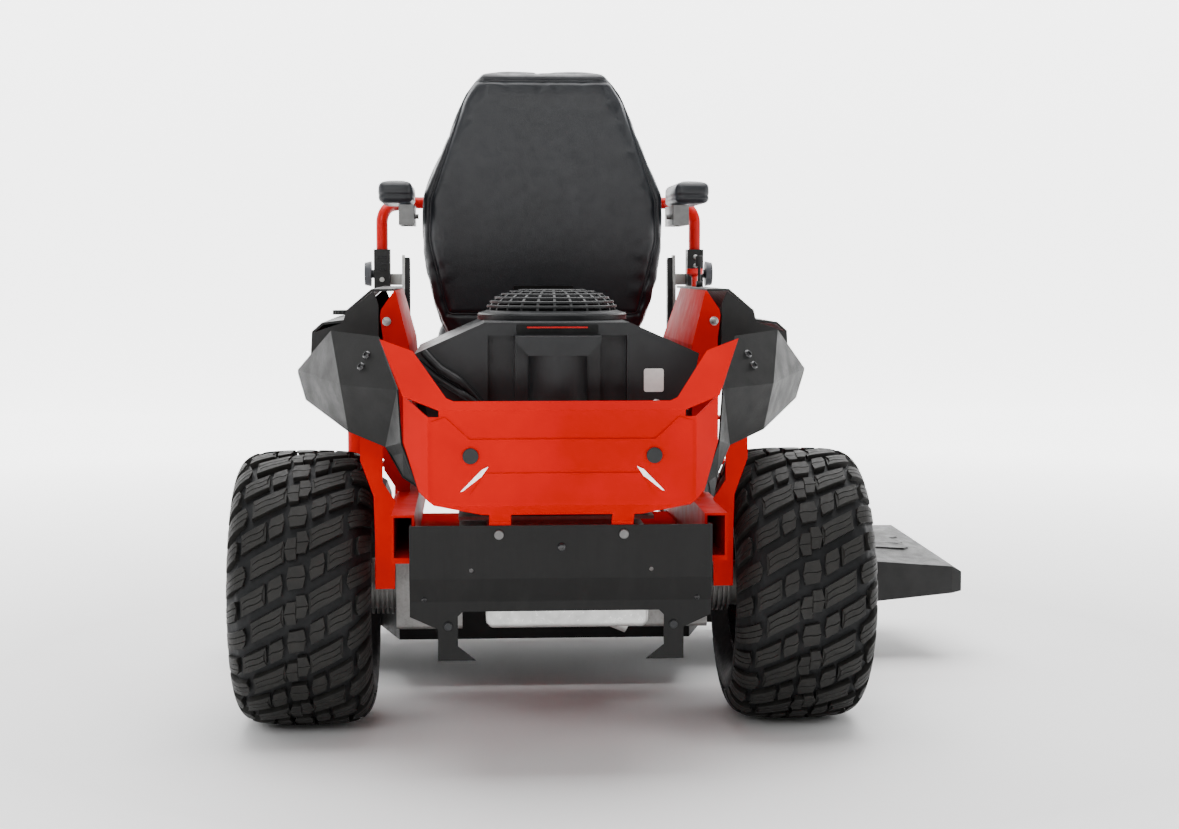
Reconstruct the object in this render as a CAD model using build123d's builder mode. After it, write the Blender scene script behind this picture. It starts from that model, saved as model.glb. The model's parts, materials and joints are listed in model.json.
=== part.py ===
"""Zero turn mower: 48 inch deck, twin cylinder engine at the rear, two lap bars and a high-backed seat.

Working frame, millimetres: +Y is the way the mower drives, +X its right side, +Z up. The rear
axle lies over Y = 0 and the ground is Z = 0 while the pieces are drawn. The last step moves
everything so that the origin is the bottom centre of the whole machine's box.
"""

from build123d import *
from math import copysign, cos, radians, sin
import numpy as np
import os

# Driving dimensions ----------------------------------------------------------------------------
TYRE_DIAMETER = 508.0  # 20 x 10-10 drive tyre
TYRE_WIDTH = 254.0
TRACK_HALF = 452.0
RIM_DIAMETER = 254.0
RIM_WIDTH = 205.0
RIM_FLANGE = 10.0
WHEELBASE = 1250.0

RAIL_WIDTH = 38.0  # frame rails, 1.5 x 3 inch tube
RAIL_HEIGHT = 76.0
RAIL_WALL = 4.0
RAIL_INSIDE = 243.0  # from the centre plane to a rail's inner face
RAIL_REAR = -390.0
PLATE = 5.0  # engine plate and other heavy plate
SHEET = 3.0  # guards, panels and covers

CASTER_DIAMETER = 330.0  # 13 x 6.5-6 front tyre
CASTER_WIDTH = 165.0
CASTER_RIM = 152.0
CASTER_HALF = 430.0  # from the centre plane to the swivel
CASTER_TRAIL = 100.0
CROWN_GAP = 10.0  # tyre to crown
CROWN = 10.0

CRANK_Y = -80.0
CRANK_RADIUS = 14.29
ENGINE_HALF = 170.0

SEAT_TOP = 1245.0
SEAT_HALF = 250.0
SEAT_HINGE_Y = 745.0
SEAT_FLOOR = 600.0  # underside of the seat pan

DECK_TOP = 228.0
DECK_SKIRT = 98.0  # lowest edge of the deck at rest
DECK_WALL = 4.0
BLADE_LENGTH = 414.0
BLADE_WIDTH = 57.0
BLADE_THICK = 6.0
BLADE_GAP = 18.0  # blade tip to shell
SPINDLE_SPREAD = 397.0  # centre spindle to outer spindle, across
SPINDLE_OUTER_Y = 650.0
SPINDLE_CENTRE_Y = 500.0
SPINDLE_RADIUS = 12.5
BLADE_LEVEL = 128.0

GUARD_Y = -480.0  # rearmost face of the red guard
GUARD_HALF = 218.0
MUFFLER_GUARD_Y = -440.0
MUFFLER_GUARD_HALF = 250.0
ACCESSORY_SPACING = 297.0
ACCESSORY_HOLE = 3.5  # radius
ACCESSORY_LEVEL = 350.0
GUARD_TUCK = 16.0  # how far the guard's lower part is set forward of its face
LEG_INSIDE = 171.0
LEG_OUTSIDE = 204.0
LEG_BOLT_X = 187.0
LEG_LEVEL = 255.0
TAB_X = 103.0
TAB_LEVEL = 409.0
BOLT = 5.0  # radius of the guards' bolt holes
PIN = 5.0  # radius of hinge pins
EAR_RADIUS = 10.0  # round hinge ears under the seat pan

FENDER_FLAT = 807.0
FENDER_FRONT = 480.0
FUEL_CAP = (-401.0, 330.0)
CAP_HEIGHT = 9.0
ARM_PAD = 72.0  # width of an armrest
LEVER_PIVOT = (560.0, 600.0)  # Y, Z of the lap bar lever pivot
LEVER_X = 286.0  # inner face of the lever plate
LAP_BAR_X = 334.0
LAP_TUBE = 12.5  # radius

# Clearances
FIT = 0.05  # radial running fit
NEAR = 0.3  # pieces of different bodies that lie side by side
BEAD = 0.2  # tyre bead on its rim seat

AXLE_Z = TYRE_DIAMETER / 2
RAIL_OUTSIDE = RAIL_INSIDE + RAIL_WIDTH
CASTER_Y = WHEELBASE + CASTER_TRAIL
CROWN_TOP = CASTER_DIAMETER + CROWN_GAP + CROWN
RAIL_BOTTOM = CROWN_TOP + 10
RAIL_TOP = RAIL_BOTTOM + RAIL_HEIGHT
SIDES = {"left": -1, "right": 1}

pieces = {}


# Helpers ---------------------------------------------------------------------------------------
def keep(name, built):
    """Files a finished piece under the name that it is exported by."""
    part = built.part if isinstance(built, BuildPart) else built
    part.label = name
    pieces[name] = part


def block(xs, ys, zs, mode=Mode.ADD):
    """Box between two limits along each axis, in the open builder."""
    lows = [min(pair) for pair in (xs, ys, zs)]
    highs = [max(pair) for pair in (xs, ys, zs)]
    with Locations(tuple((low + high) / 2 for low, high in zip(lows, highs))):
        Box(*(high - low for low, high in zip(lows, highs)), mode=mode)


def rod(start, end, radius, mode=Mode.ADD):
    """Round bar from one point to another, in the open builder."""
    run = Vector(*end) - Vector(*start)
    with BuildSketch(Plane(origin=start, z_dir=run)) as section:
        Circle(radius)
    extrude(section.sketch, amount=run.length, mode=mode)


def outline(plane, points, thickness, mode=Mode.ADD):
    """Prism over a closed outline on a plane, in the open builder."""
    with BuildSketch(plane) as section:
        with BuildLine():
            Polyline(*points, close=True)
        make_face()
    extrude(section.sketch, amount=thickness, mode=mode)


def upright_plane(y):
    """Plane across the mower at y: its own x is X, its own y is Z and it faces the rear."""
    return Plane(origin=(0, y, 0), x_dir=(1, 0, 0), z_dir=(0, -1, 0))


def side_plane(x):
    """Plane along the mower at x: its own x is Y, its own y is Z and it faces right."""
    return Plane(origin=(x, 0, 0), x_dir=(0, 1, 0), z_dir=(1, 0, 0))


def turned(centre, points, mode=Mode.ADD):
    """Ring or wheel about an axis along X: its points are (along the axis, radius)."""
    with BuildSketch(Plane(origin=centre, x_dir=(1, 0, 0), z_dir=(0, -1, 0))) as section:
        with BuildLine():
            Polyline(*points, close=True)
        make_face()
    revolve(section.sketch, axis=Axis(centre, (1, 0, 0)), mode=mode)


def turned_up(centre, points, mode=Mode.ADD):
    """Ring or post about an upright axis: its points are (radius, height)."""
    with BuildSketch(Plane(origin=centre, x_dir=(1, 0, 0), z_dir=(0, -1, 0))) as section:
        with BuildLine():
            Polyline(*points, close=True)
        make_face()
    revolve(section.sketch, axis=Axis(centre, (0, 0, 1)), mode=mode)


def mirrored(side, points):
    """The points of a right-hand outline, turned over for the left-hand side."""
    sign = SIDES[side]
    return [(sign * point[0], *point[1:]) for point in points]


def folded_sheet(corners, facets, thickness, inward):
    """Folded sheet as one closed solid: flat outer facets, mitred inner facets and a rim.

    Each facet lists its corners in order round it. inward is a point on the inner side.
    """
    outer = [np.array(corner, float) for corner in corners]
    normals = []
    loops = []
    for facet in facets:
        ring = [outer[i] for i in facet]
        normal = sum(np.cross(p, q) for p, q in zip(ring, ring[1:] + ring[:1]))
        normal = normal / np.linalg.norm(normal)
        flipped = normal @ (ring[0] - np.array(inward, float)) < 0
        normals.append(-normal if flipped else normal)
        loops.append(list(reversed(facet)) if flipped else list(facet))
    inner = []
    for i, point in enumerate(outer):
        around = np.array([n for n, loop in zip(normals, loops) if i in loop])
        inner.append(point - thickness * (np.linalg.pinv(around, rcond=0.02) @ np.ones(len(around))))
    edges = {(loop[i], loop[(i + 1) % len(loop)]) for loop in loops for i in range(len(loop))}
    rings = [[outer[i] for i in loop] for loop in loops]
    rings += [[inner[i] for i in reversed(loop)] for loop in loops]
    rings += [[outer[b], outer[a], inner[a], inner[b]] for a, b in edges if (b, a) not in edges]
    faces = [face for ring in rings for face in flat_faces(ring)]
    solid = Solid(Shell(faces))
    return Part() + (solid if solid.volume > 0 else Solid(Shell([-face for face in faces])))


def flat_faces(ring):
    """One face over a flat ring of points, or a fan of triangles over one that isn't flat."""
    spread = np.array(ring) - np.mean(ring, axis=0)
    if np.linalg.svd(spread)[1][-1] < 1e-6:
        fans = [ring]
    else:
        fans = [[ring[0], ring[i], ring[i + 1]] for i in range(1, len(ring) - 1)]
    return [Face(Wire.make_polygon([Vector(*p) for p in fan], close=True)) for fan in fans]


# Frame -----------------------------------------------------------------------------------------
BEAM_DEPTH = 60.0
BARREL_RADIUS = 30.0
STEM_RADIUS = 15.9
BARREL_BOTTOM = CROWN_TOP + NEAR
BARREL_TOP = BARREL_BOTTOM + 84


def frame_rail(side):
    """Rectangular tube from the rear plate to the front beam."""
    sign = SIDES[side]
    xs = (sign * RAIL_INSIDE, sign * RAIL_OUTSIDE)
    bore_xs = (sign * (RAIL_INSIDE + RAIL_WALL), sign * (RAIL_OUTSIDE - RAIL_WALL))
    front = CASTER_Y - BEAM_DEPTH / 2
    with BuildPart() as rail:
        block(xs, (RAIL_REAR, front), (RAIL_BOTTOM, RAIL_TOP))
        bore = (RAIL_BOTTOM + RAIL_WALL, RAIL_TOP - RAIL_WALL)
        block(bore_xs, (RAIL_REAR - 1, front + 1), bore, Mode.SUBTRACT)
    keep(f"frame_rail_{side}", rail)


def front_beam():
    """Cross tube with an upright barrel at each end for a caster stem."""
    beam_half = CASTER_HALF - BARREL_RADIUS / 2
    rear = CASTER_Y - BEAM_DEPTH / 2
    front = CASTER_Y + BEAM_DEPTH / 2
    with BuildPart() as beam:
        block((-beam_half, beam_half), (rear, front), (RAIL_BOTTOM, RAIL_TOP - 12))
        for sign in SIDES.values():
            height = BARREL_TOP - BARREL_BOTTOM
            with BuildSketch(Plane.XY.offset(BARREL_BOTTOM)):
                with Locations((sign * CASTER_HALF, CASTER_Y)):
                    Circle(BARREL_RADIUS)
            extrude(amount=height)
            with BuildSketch(Plane.XY.offset(BARREL_BOTTOM)):
                with Locations((sign * CASTER_HALF, CASTER_Y)):
                    Circle(STEM_RADIUS + FIT)
            extrude(amount=height, mode=Mode.SUBTRACT)
    keep("front_beam", beam)


def engine_plate():
    """Plate under the rails that carries the engine, with a rear flange and two guard brackets."""
    sump_hole = CRANK_RADIUS + 22
    flange_y = MUFFLER_GUARD_Y + 2 * SHEET
    bracket_y = MUFFLER_GUARD_Y + GUARD_TUCK + SHEET
    low = RAIL_BOTTOM - PLATE
    with BuildPart() as plate:
        block((-RAIL_OUTSIDE, RAIL_OUTSIDE), (RAIL_REAR, 230), (low, RAIL_BOTTOM))
        block((-GUARD_HALF, GUARD_HALF), (flange_y, RAIL_REAR), (low, RAIL_BOTTOM))
        block((-TAB_X - 25, TAB_X + 25), (flange_y, flange_y + PLATE), (low, TAB_LEVEL + 14))
        for sign in SIDES.values():
            xs = (sign * (LEG_INSIDE + 5), sign * (LEG_OUTSIDE - 5))
            block(xs, (bracket_y, bracket_y + PLATE), (240, low))
            for x, z, radius in ((TAB_X, TAB_LEVEL, BOLT), (LEG_BOLT_X, LEG_LEVEL, BOLT - 1)):
                ends = [(sign * x, y, z) for y in (MUFFLER_GUARD_Y, MUFFLER_GUARD_Y + 40)]
                rod(*ends, radius, Mode.SUBTRACT)
        rod((0, CRANK_Y, low - 1), (0, CRANK_Y, RAIL_BOTTOM + 1), sump_hole, Mode.SUBTRACT)
    keep("engine_plate", plate)


def frame_upright(side):
    """Bent plate beside the drive wheel that ties the rail to the body panels above."""
    inside = RAIL_OUTSIDE
    profile = [
        (inside + 61, 575),
        (inside + 61, 509),
        (inside + 38, 445),
        (inside + 36, 375),
        (inside + 36, 281),
        (inside + 2, 281),
        (inside, RAIL_BOTTOM),
        (inside, RAIL_TOP),
        (inside + 22, 470),
        (inside + 22, 575),
    ]
    with BuildPart() as upright:
        outline(upright_plane(-195), mirrored(side, profile), PLATE)
        sign = SIDES[side]
        block((sign * inside, sign * (inside + PLATE)), (-195, -90), (RAIL_BOTTOM, RAIL_TOP))
        arm_x = inside + 42
        reach = [wing_inside(arm_x + PLATE, z) for z in (672, 704)]
        arm = [(-195, 560), (-195, 704), (reach[1], 704), (reach[0], 672), (-230, 640), (-200, 560)]
        outline(side_plane(min(sign * arm_x, sign * (arm_x + PLATE))), arm, PLATE)
        block((sign * (inside + 22), sign * (inside + 61)), (-195, -60), (570, 575))
    keep(f"frame_upright_{side}", upright)


def wing_inside(x, z):
    """Y of a point just inside the upper rear facet of a fender wing, at x and z."""
    a, b, c = (np.array(WING[i], float) for i in (0, 4, 3))
    normal = np.cross(b - a, c - a)
    normal = normal * np.sign(normal[1]) / np.linalg.norm(normal)
    outer = a[1] - (normal[0] * (x - a[0]) + normal[2] * (z - a[2])) / normal[1]
    return outer + (SHEET + NEAR) / normal[1]


# Engine ----------------------------------------------------------------------------------------
ENGINE_REAR = -300.0
ENGINE_FRONT = 110.0
SHROUD_BOTTOM = 560.0
GUARD_RING = 135.0
FAN_GUARD_TOP = 807.0
RECESS = 25.0  # depth of the shroud's rear panels
SCOOP = 40.0  # how far the rear hood stands out from the shroud


def engine_block():
    """Crankcase with its sump flange, cooling ribs and a bore for the crankshaft."""
    bottom = RAIL_BOTTOM
    top = SHROUD_BOTTOM
    with BuildPart() as engine:
        block((-ENGINE_HALF, ENGINE_HALF), (ENGINE_REAR + 60, ENGINE_FRONT - 20), (bottom, bottom + 14))
        block((-120, 120), (ENGINE_REAR + 70, ENGINE_FRONT - 40), (bottom + 14, top))
        for level in range(6):
            low = bottom + 50 + 24 * level
            block((-ENGINE_HALF, ENGINE_HALF), (ENGINE_REAR + 40, ENGINE_FRONT - 60), (low, low + 6))
        rod((0, CRANK_Y, bottom - 1), (0, CRANK_Y, top + 1), CRANK_RADIUS + FIT, Mode.SUBTRACT)
    keep("engine_block", engine)


def engine_shroud():
    """Moulded cover over the cylinders: a fan well, two recessed rear panels and a hooded pillar."""
    profile = [
        (-215, SHROUD_BOTTOM),
        (215, SHROUD_BOTTOM),
        (243, 700),
        (124, 753),
        (-124, 753),
        (-243, 700),
    ]
    with BuildPart() as shroud:
        outline(upright_plane(ENGINE_FRONT), profile, ENGINE_FRONT - ENGINE_REAR)
        hollow = [(x - copysign(8, x), z - 8 if z > SHROUD_BOTTOM else z + 8) for x, z in profile]
        depth = ENGINE_FRONT - ENGINE_REAR - RECESS - 16
        outline(upright_plane(ENGINE_FRONT - 8), hollow, depth, Mode.SUBTRACT)
        for sign in SIDES.values():
            recess = (ENGINE_REAR, ENGINE_REAR + RECESS)
            block((sign * 73, sign * 119), recess, (SHROUD_BOTTOM, 731), Mode.SUBTRACT)
        hood = [(-73, 731), (73, 731), (73, 722), (50, 698), (-50, 698), (-73, 722)]
        outline(upright_plane(ENGINE_REAR), hood, SCOOP)
        with BuildSketch(Plane.XY.offset(SHROUD_BOTTOM)) as pillar:
            with BuildLine():
                side_y = ENGINE_REAR - SCOOP / 3
                Line((-50, ENGINE_REAR + 5), (50, ENGINE_REAR + 5))
                Line((50, ENGINE_REAR + 5), (50, side_y))
                ThreePointArc((50, side_y), (0, ENGINE_REAR - SCOOP), (-50, side_y))
                Line((-50, side_y), (-50, ENGINE_REAR + 5))
            make_face()
        extrude(pillar.sketch, amount=698 - SHROUD_BOTTOM)
        rod((0, CRANK_Y, 640), (0, CRANK_Y, 760), GUARD_RING - 14, Mode.SUBTRACT)
        rod((0, CRANK_Y, 500), (0, CRANK_Y, 650), CRANK_RADIUS + 3, Mode.SUBTRACT)
    keep("engine_shroud", shroud)


def fan_guard():
    """Domed grille over the cooling fan with rings of slots."""
    base = 753.0 + NEAR
    wall = 3.0
    dome = [
        (GUARD_RING, base),
        (GUARD_RING, 766),
        (126, 771),
        (112, 790),
        (88, 803),
        (0, FAN_GUARD_TOP),
        (0, FAN_GUARD_TOP - wall),
        (87, 803 - wall),
        (110, 790 - wall),
        (124, 768),
        (GUARD_RING - 6, 763),
        (GUARD_RING - 6, base),
    ]
    with BuildPart() as guard:
        turned_up((0, CRANK_Y, 0), dome)
        with BuildSketch(Plane.XY.offset(770)):
            for radius, count in ((107, 30), (72, 20)):
                with Locations((0, CRANK_Y)):
                    with PolarLocations(radius, count):
                        SlotOverall(26, 7)
        extrude(amount=60, mode=Mode.SUBTRACT)
    keep("fan_guard", guard)


def crankshaft():
    """Crankshaft with the cooling fan above the crankcase and a double pulley below the plate."""
    pulley_low = 268.0
    with BuildPart() as shaft:
        rod((0, CRANK_Y, pulley_low - 4), (0, CRANK_Y, 738), CRANK_RADIUS)
    with BuildPart() as fan:
        disc = [(CRANK_RADIUS, 700), (105, 700), (105, 705), (40, 716), (CRANK_RADIUS, 716)]
        turned_up((0, CRANK_Y, 0), disc)
        with BuildSketch(Plane.XY.offset(705)):
            with Locations((0, CRANK_Y)):
                with PolarLocations(82, 12):
                    Rectangle(44, 4)
        extrude(amount=28)
    with BuildPart() as pulley:
        low = pulley_low
        groove = [
            (CRANK_RADIUS, low),
            (72, low),
            (60, low + 10),
            (72, low + 20),
            (72, low + 26),
            (60, low + 36),
            (72, low + 46),
            (CRANK_RADIUS, low + 46),
        ]
        turned_up((0, CRANK_Y, 0), groove)
    keep("crankshaft", Part() + [built.part.solids()[0] for built in (shaft, fan, pulley)])


def muffler():
    """Box muffler under the engine plate with a round-edged pressing and an outlet."""
    with BuildPart() as can:
        block((-125, 148), (-405, -240), (247, 345))
        fillet(can.edges().filter_by(Axis.Y), 14)
        fillet(can.faces().sort_by(Axis.Z)[0].edges(), 8)
        block((-122, 145), (-402, -243), (250, 342), Mode.SUBTRACT)
        rod((84, -330, 252), (118, -330, 238), 15)
        rod((78, -330, 255), (124, -330, 236), 12, Mode.SUBTRACT)
        rod((-60, -320, 345), (-60, -320, RAIL_BOTTOM - PLATE), 18)
    keep("muffler", can)


def engine_hoses():
    """Two rubber hoses held between the shroud and the crankcase, with a clip."""
    runs = {
        "vent": [(-228, -307, 704), (-200, -318, 676), (-165, -330, 655), (-124, -307, 608)],
        "fuel": [(-240, -306.8, 688), (-205, -314, 660), (-160, -332, 632), (-100, -322, 588)],
    }
    solids = []
    for points in runs.values():
        with BuildPart() as hose:
            with BuildLine():
                path = FilletPolyline(*points, radius=30)
            with BuildSketch(Plane(origin=path @ 0, z_dir=path % 0)):
                Circle(6.5)
            sweep()
        solids.append(hose.part.solids()[0])
    keep("engine_hoses", Part() + solids)


# Rear guards and panels ------------------------------------------------------------------------
def rear_guard():
    """Red guard: a pressed face, swept sides, and a top band that rises into two wings."""
    half = GUARD_HALF
    top = 617.0
    low = 462.0
    lean = 0.75
    side_end = half + 40
    side_y = GUARD_Y + 38

    def band(x, z):
        return (x, GUARD_Y + (z - top) * lean, z)

    face = [(half, GUARD_Y, low + 8), (half, GUARD_Y, 606), (200, GUARD_Y, 606), (200, GUARD_Y, top)]
    right = [
        (side_end, side_y, 638),
        (side_end, side_y, 562),
        (half + 15, GUARD_Y + 14.25, 484),
        band(297, 729),
        band(243, 710),
        band(188, 636),
        band(176, 631),
        band(258, 640),
        (208, GUARD_Y, low),
    ]
    right_all = face + right
    corners = right_all + mirrored("left", right_all)
    n = len(right_all)
    facets = [
        [12, 0, 1, 2, 3, n + 3, n + 2, n + 1, n, n + 12],
        [0, 6, 5, 4, 1],
        [n, n + 6, n + 5, n + 4, n + 1],
        [3, 11, 7, 8, 9, 10, n + 10, n + 9, n + 8, n + 7, n + 11, n + 3],
    ]
    sheet = folded_sheet(corners, facets, SHEET, (0, 0, 550))
    pad = [
        (-half + 6, low + 8),
        (half - 6, low + 8),
        (half - 6, 598),
        (190, 606),
        (151, 570),
        (-151, 570),
        (-190, 606),
        (-half + 6, 598),
    ]
    lower = [(-150, 478), (150, 478), (125, 515), (-125, 515)]
    with BuildPart() as guard:
        add(sheet)
        outline(upright_plane(GUARD_Y), pad, 2.5)
        outline(upright_plane(GUARD_Y - 2.5), lower, 2)
        under = Plane(origin=(0, GUARD_Y, low), x_dir=(1, 0, 0), z_dir=(0, -0.6, -0.8))
        outline(under, [(-206, 0), (206, 0), (130, -30), (-130, -30)], -SHEET)
        for sign in SIDES.values():
            tab_xs = (sign * (TAB_X - 20), sign * (TAB_X + 16))
            tab_y = MUFFLER_GUARD_Y + SHEET
            block(tab_xs, (tab_y, tab_y + SHEET), (RAIL_BOTTOM + 34, 434))
            outline(under, [(tab_xs[0], -20), (tab_xs[1], -20), (tab_xs[1], -56), (tab_xs[0], -56)], -SHEET)
            tab_bolt = [(sign * TAB_X, y, TAB_LEVEL) for y in (tab_y - 9, tab_y + 9)]
            rod(*tab_bolt, BOLT, Mode.SUBTRACT)
            bolt_x = sign * 149
            rod((bolt_x, GUARD_Y - 9, 543), (bolt_x, GUARD_Y + 9, 543), BOLT, Mode.SUBTRACT)
    keep("rear_guard", guard)


def muffler_guard():
    """Black guard bent twice across, with folded sides, two legs and fixing holes."""
    half = MUFFLER_GUARD_HALF
    y = MUFFLER_GUARD_Y
    tuck = GUARD_TUCK
    top = 424.0
    right = [
        (half, y, top),
        (half, y, 336),
        (half, y + tuck, 296),
        (half, y + tuck, 271),
        (LEG_OUTSIDE, y + tuck, 250),
        (LEG_OUTSIDE, y + tuck, 197),
        (141, y + tuck, 197),
        (LEG_INSIDE, y + tuck, 221),
        (LEG_INSIDE, y + tuck, 271),
        (LEG_INSIDE - 8, y + tuck, 279),
        (half, y + 45, top - 3),
        (half, y + 45, 336),
        (half, y + 60, 296),
        (half, y + 60, 271),
    ]
    corners = right + mirrored("left", right)
    n = len(right)
    facets = [
        [0, 1, n + 1, n],
        [1, 2, n + 2, n + 1],
        [2, 3, 4, 5, 6, 7, 8, 9, n + 9, n + 8, n + 7, n + 6, n + 5, n + 4, n + 3, n + 2],
        [0, 10, 11, 1],
        [n, n + 10, n + 11, n + 1],
    ]
    used = sorted({i for facet in facets for i in facet})
    facets = [[used.index(i) for i in facet] for facet in facets]
    sheet = folded_sheet([corners[i] for i in used], facets, SHEET, (0, 0, 340))
    with BuildPart() as guard:
        add(sheet)
        for sign in SIDES.values():
            for x, z, radius in (
                (TAB_X, TAB_LEVEL, BOLT),
                (ACCESSORY_SPACING / 2, ACCESSORY_LEVEL, ACCESSORY_HOLE),
                (LEG_BOLT_X, LEG_LEVEL, BOLT - 1),
            ):
                rod((sign * x, y - 5, z), (sign * x, y + 30, z), radius, Mode.SUBTRACT)
    keep("muffler_guard", guard)


WING = [
    (388, -240, 738),
    (302, -330.3, 731),
    (299, -341.2, 721),
    (268, -430, 647),
    (367, -330, 650),
    (455, -130, 665),
    (455, -123.3, 657),
    (443, -113.2, 610),
    (357, -285, 567),
    (292, -337.3, 545),
    (263, -425, 560),
    (236, -425, 486),
    (262, -400, 500),
]


def fender_wing(side):
    """Black faceted wing that wraps round the rear corner, outside the red guard."""
    facets = [
        [0, 1, 2, 3, 4],
        [0, 4, 5],
        [4, 8, 7, 6, 5],
        [4, 3, 9, 8],
        [3, 10, 9],
        [10, 11, 12, 9],
    ]
    inward = (SIDES[side] * 250, 0, 600)
    keep(f"fender_wing_{side}", folded_sheet(mirrored(side, WING), facets, SHEET, inward))


def side_panel(side):
    """Red inner panel beside the seat, standing on the rail, with the lap lever's pivot pin."""
    foot = RAIL_OUTSIDE
    inner = foot - 21
    base = RAIL_TOP + NEAR
    right = [
        (foot + 26, -50, RAIL_TOP + 40),
        (foot + 26, -50, 717),
        (foot + 31, -50, 758),
        (foot + 29, -50, 770),
        (foot + 3, -50, 804),
        (inner, -50, 703),
        (inner, -50, base),
        (foot, -50, base),
        (foot + 3, 380, 804),
        (inner, FENDER_FRONT, 703),
        (inner, 650, 640),
        (inner, 650, base),
    ]
    facets = [[0, 1, 2, 3, 4, 5, 6, 7], [4, 8, 9, 5], [6, 5, 9, 10, 11]]
    inward = (SIDES[side] * 330, 200, 600)
    sign = SIDES[side]
    y, z = LEVER_PIVOT
    with BuildPart() as panel:
        add(folded_sheet(mirrored(side, right), facets, SHEET, inward))
        rod((sign * (inner + SHEET), y, z), (sign * (LEVER_X + 14), y, z), LEVER_PIN)
    keep(f"side_panel_{side}", panel)


def fender(side):
    """Moulded fender over the drive wheel with a raised console beside the seat."""
    lip = RAIL_OUTSIDE + 3 + SHEET + 2 * NEAR
    rear = -50 + SHEET + NEAR
    flat = FENDER_FLAT
    outer = [(443, 606), (436, 730), (418, 746), (378, 751), (374, 768), (328, flat), (lip, flat)]
    inner = [(lip, flat - 4), (326, flat - 4), (370, 765), (374, 747), (416, 742), (432, 728), (439, 606)]
    back = [(315, 640), (315, 780), (324, flat - 4), (371, 765), (375, 748), (432, 728), (438, 640)]
    with BuildPart() as cover:
        outline(upright_plane(FENDER_FRONT), mirrored(side, outer + inner), FENDER_FRONT - rear)
        outline(upright_plane(rear + 4), mirrored(side, back), 4)
        outline(upright_plane(FENDER_FRONT), mirrored(side, back), 4)
    keep(f"fender_{side}", cover)


def guard_fasteners():
    """Bolts and plugs on the guards, wings and panels, each a separate solid."""
    places = []
    for sign in SIDES.values():
        places.append(((sign * 149, GUARD_Y - 2.5, 543), 13, BOLT - FIT, 12))
        places.append(((sign * TAB_X, MUFFLER_GUARD_Y, TAB_LEVEL), 8, BOLT - FIT, 12))
        leg_face = MUFFLER_GUARD_Y + GUARD_TUCK
        places.append(((sign * LEG_BOLT_X, leg_face, LEG_LEVEL), 7, BOLT - 1 - FIT, 9))
    solids = []
    for (x, y, z), head, shank, length in places:
        with BuildPart() as bolt:
            rod((x, y, z), (x, y - 4, z), head)
            fillet(bolt.edges().group_by(Axis.Y)[0], 1.5)
            rod((x, y, z), (x, y + length, z), shank)
        solids.append(bolt.part.solids()[0])
    keep("guard_fasteners", Part() + solids)


# Body ------------------------------------------------------------------------------------------
def fuel_tank():
    """Blow-moulded tank under the left fender with a filler neck through the fender."""
    with BuildPart() as tank:
        block((-418, -340), (60, 440), (616, 744 - NEAR))
        fillet(tank.edges().filter_by(Axis.Y), 20)
        fillet(tank.edges().filter_by(Axis.Z), 15)
    keep("fuel_tank", tank)


def fuel_cap():
    """Ribbed screw cap on the left fender."""
    with BuildPart() as cap:
        with BuildSketch(Plane.XY.offset(751 + NEAR)):
            with Locations(FUEL_CAP):
                Circle(21)
                with PolarLocations(21, 16):
                    Circle(2)
        extrude(amount=CAP_HEIGHT)
        fillet(cap.faces().sort_by(Axis.Z)[-1].edges(), 1)
    keep("fuel_cap", cap)


def floor_pan():
    """Foot platform on the front of the rails with an upturned toe board."""
    half = RAIL_OUTSIDE + 30
    profile = [
        (760, RAIL_TOP),
        (1230, RAIL_TOP),
        (1310, RAIL_TOP + 60),
        (1306, RAIL_TOP + 64),
        (1227, RAIL_TOP + 4),
        (760, RAIL_TOP + 4),
    ]
    with BuildPart() as pan:
        outline(side_plane(-half), profile, 2 * half)
        for row in range(7):
            y = 830 + 55 * row
            block((-half + 40, half - 40), (y, y + 12), (RAIL_TOP + 4, RAIL_TOP + 6))
    keep("floor_pan", pan)


def seat_support():
    """Pressed box on the rails that carries the seat hinge."""
    half = RAIL_OUTSIDE - 26
    front = SEAT_HINGE_Y + 10
    with BuildPart() as support:
        block((-half, half), (330, front), (RAIL_TOP, SEAT_FLOOR - 22))
        inside = (330 + SHEET, front - SHEET)
        block((-half + SHEET, half - SHEET), inside, (RAIL_TOP - 1, SEAT_FLOOR - 22 - SHEET), Mode.SUBTRACT)
        for sign in SIDES.values():
            ear = [(sign * x, SEAT_HINGE_Y, SEAT_FLOOR - 8) for x in (150, 156)]
            block((sign * 150, sign * 156), (SEAT_HINGE_Y - 10, front), (SEAT_FLOOR - 23, SEAT_FLOOR - 12))
            rod(*ear, EAR_RADIUS)
            rod(*ear, PIN + FIT, Mode.SUBTRACT)
    keep("seat_support", support)


# Seat ------------------------------------------------------------------------------------------
RECLINE = 6.0
BACK_THICK = 95.0
BACK_FOOT_Y = 440.0
BACK_FOOT_Z = 690.0
CUSHION_TOP = 745.0
ARM_PIVOT = (330.0, 948.0)


def back_plane():
    """Plane of the seat back's front face, leaning rearwards: it faces the rear."""
    lean = radians(RECLINE)
    return Plane(origin=(0, BACK_FOOT_Y, BACK_FOOT_Z), x_dir=(1, 0, 0), z_dir=(0, -cos(lean), -sin(lean)))


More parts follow.
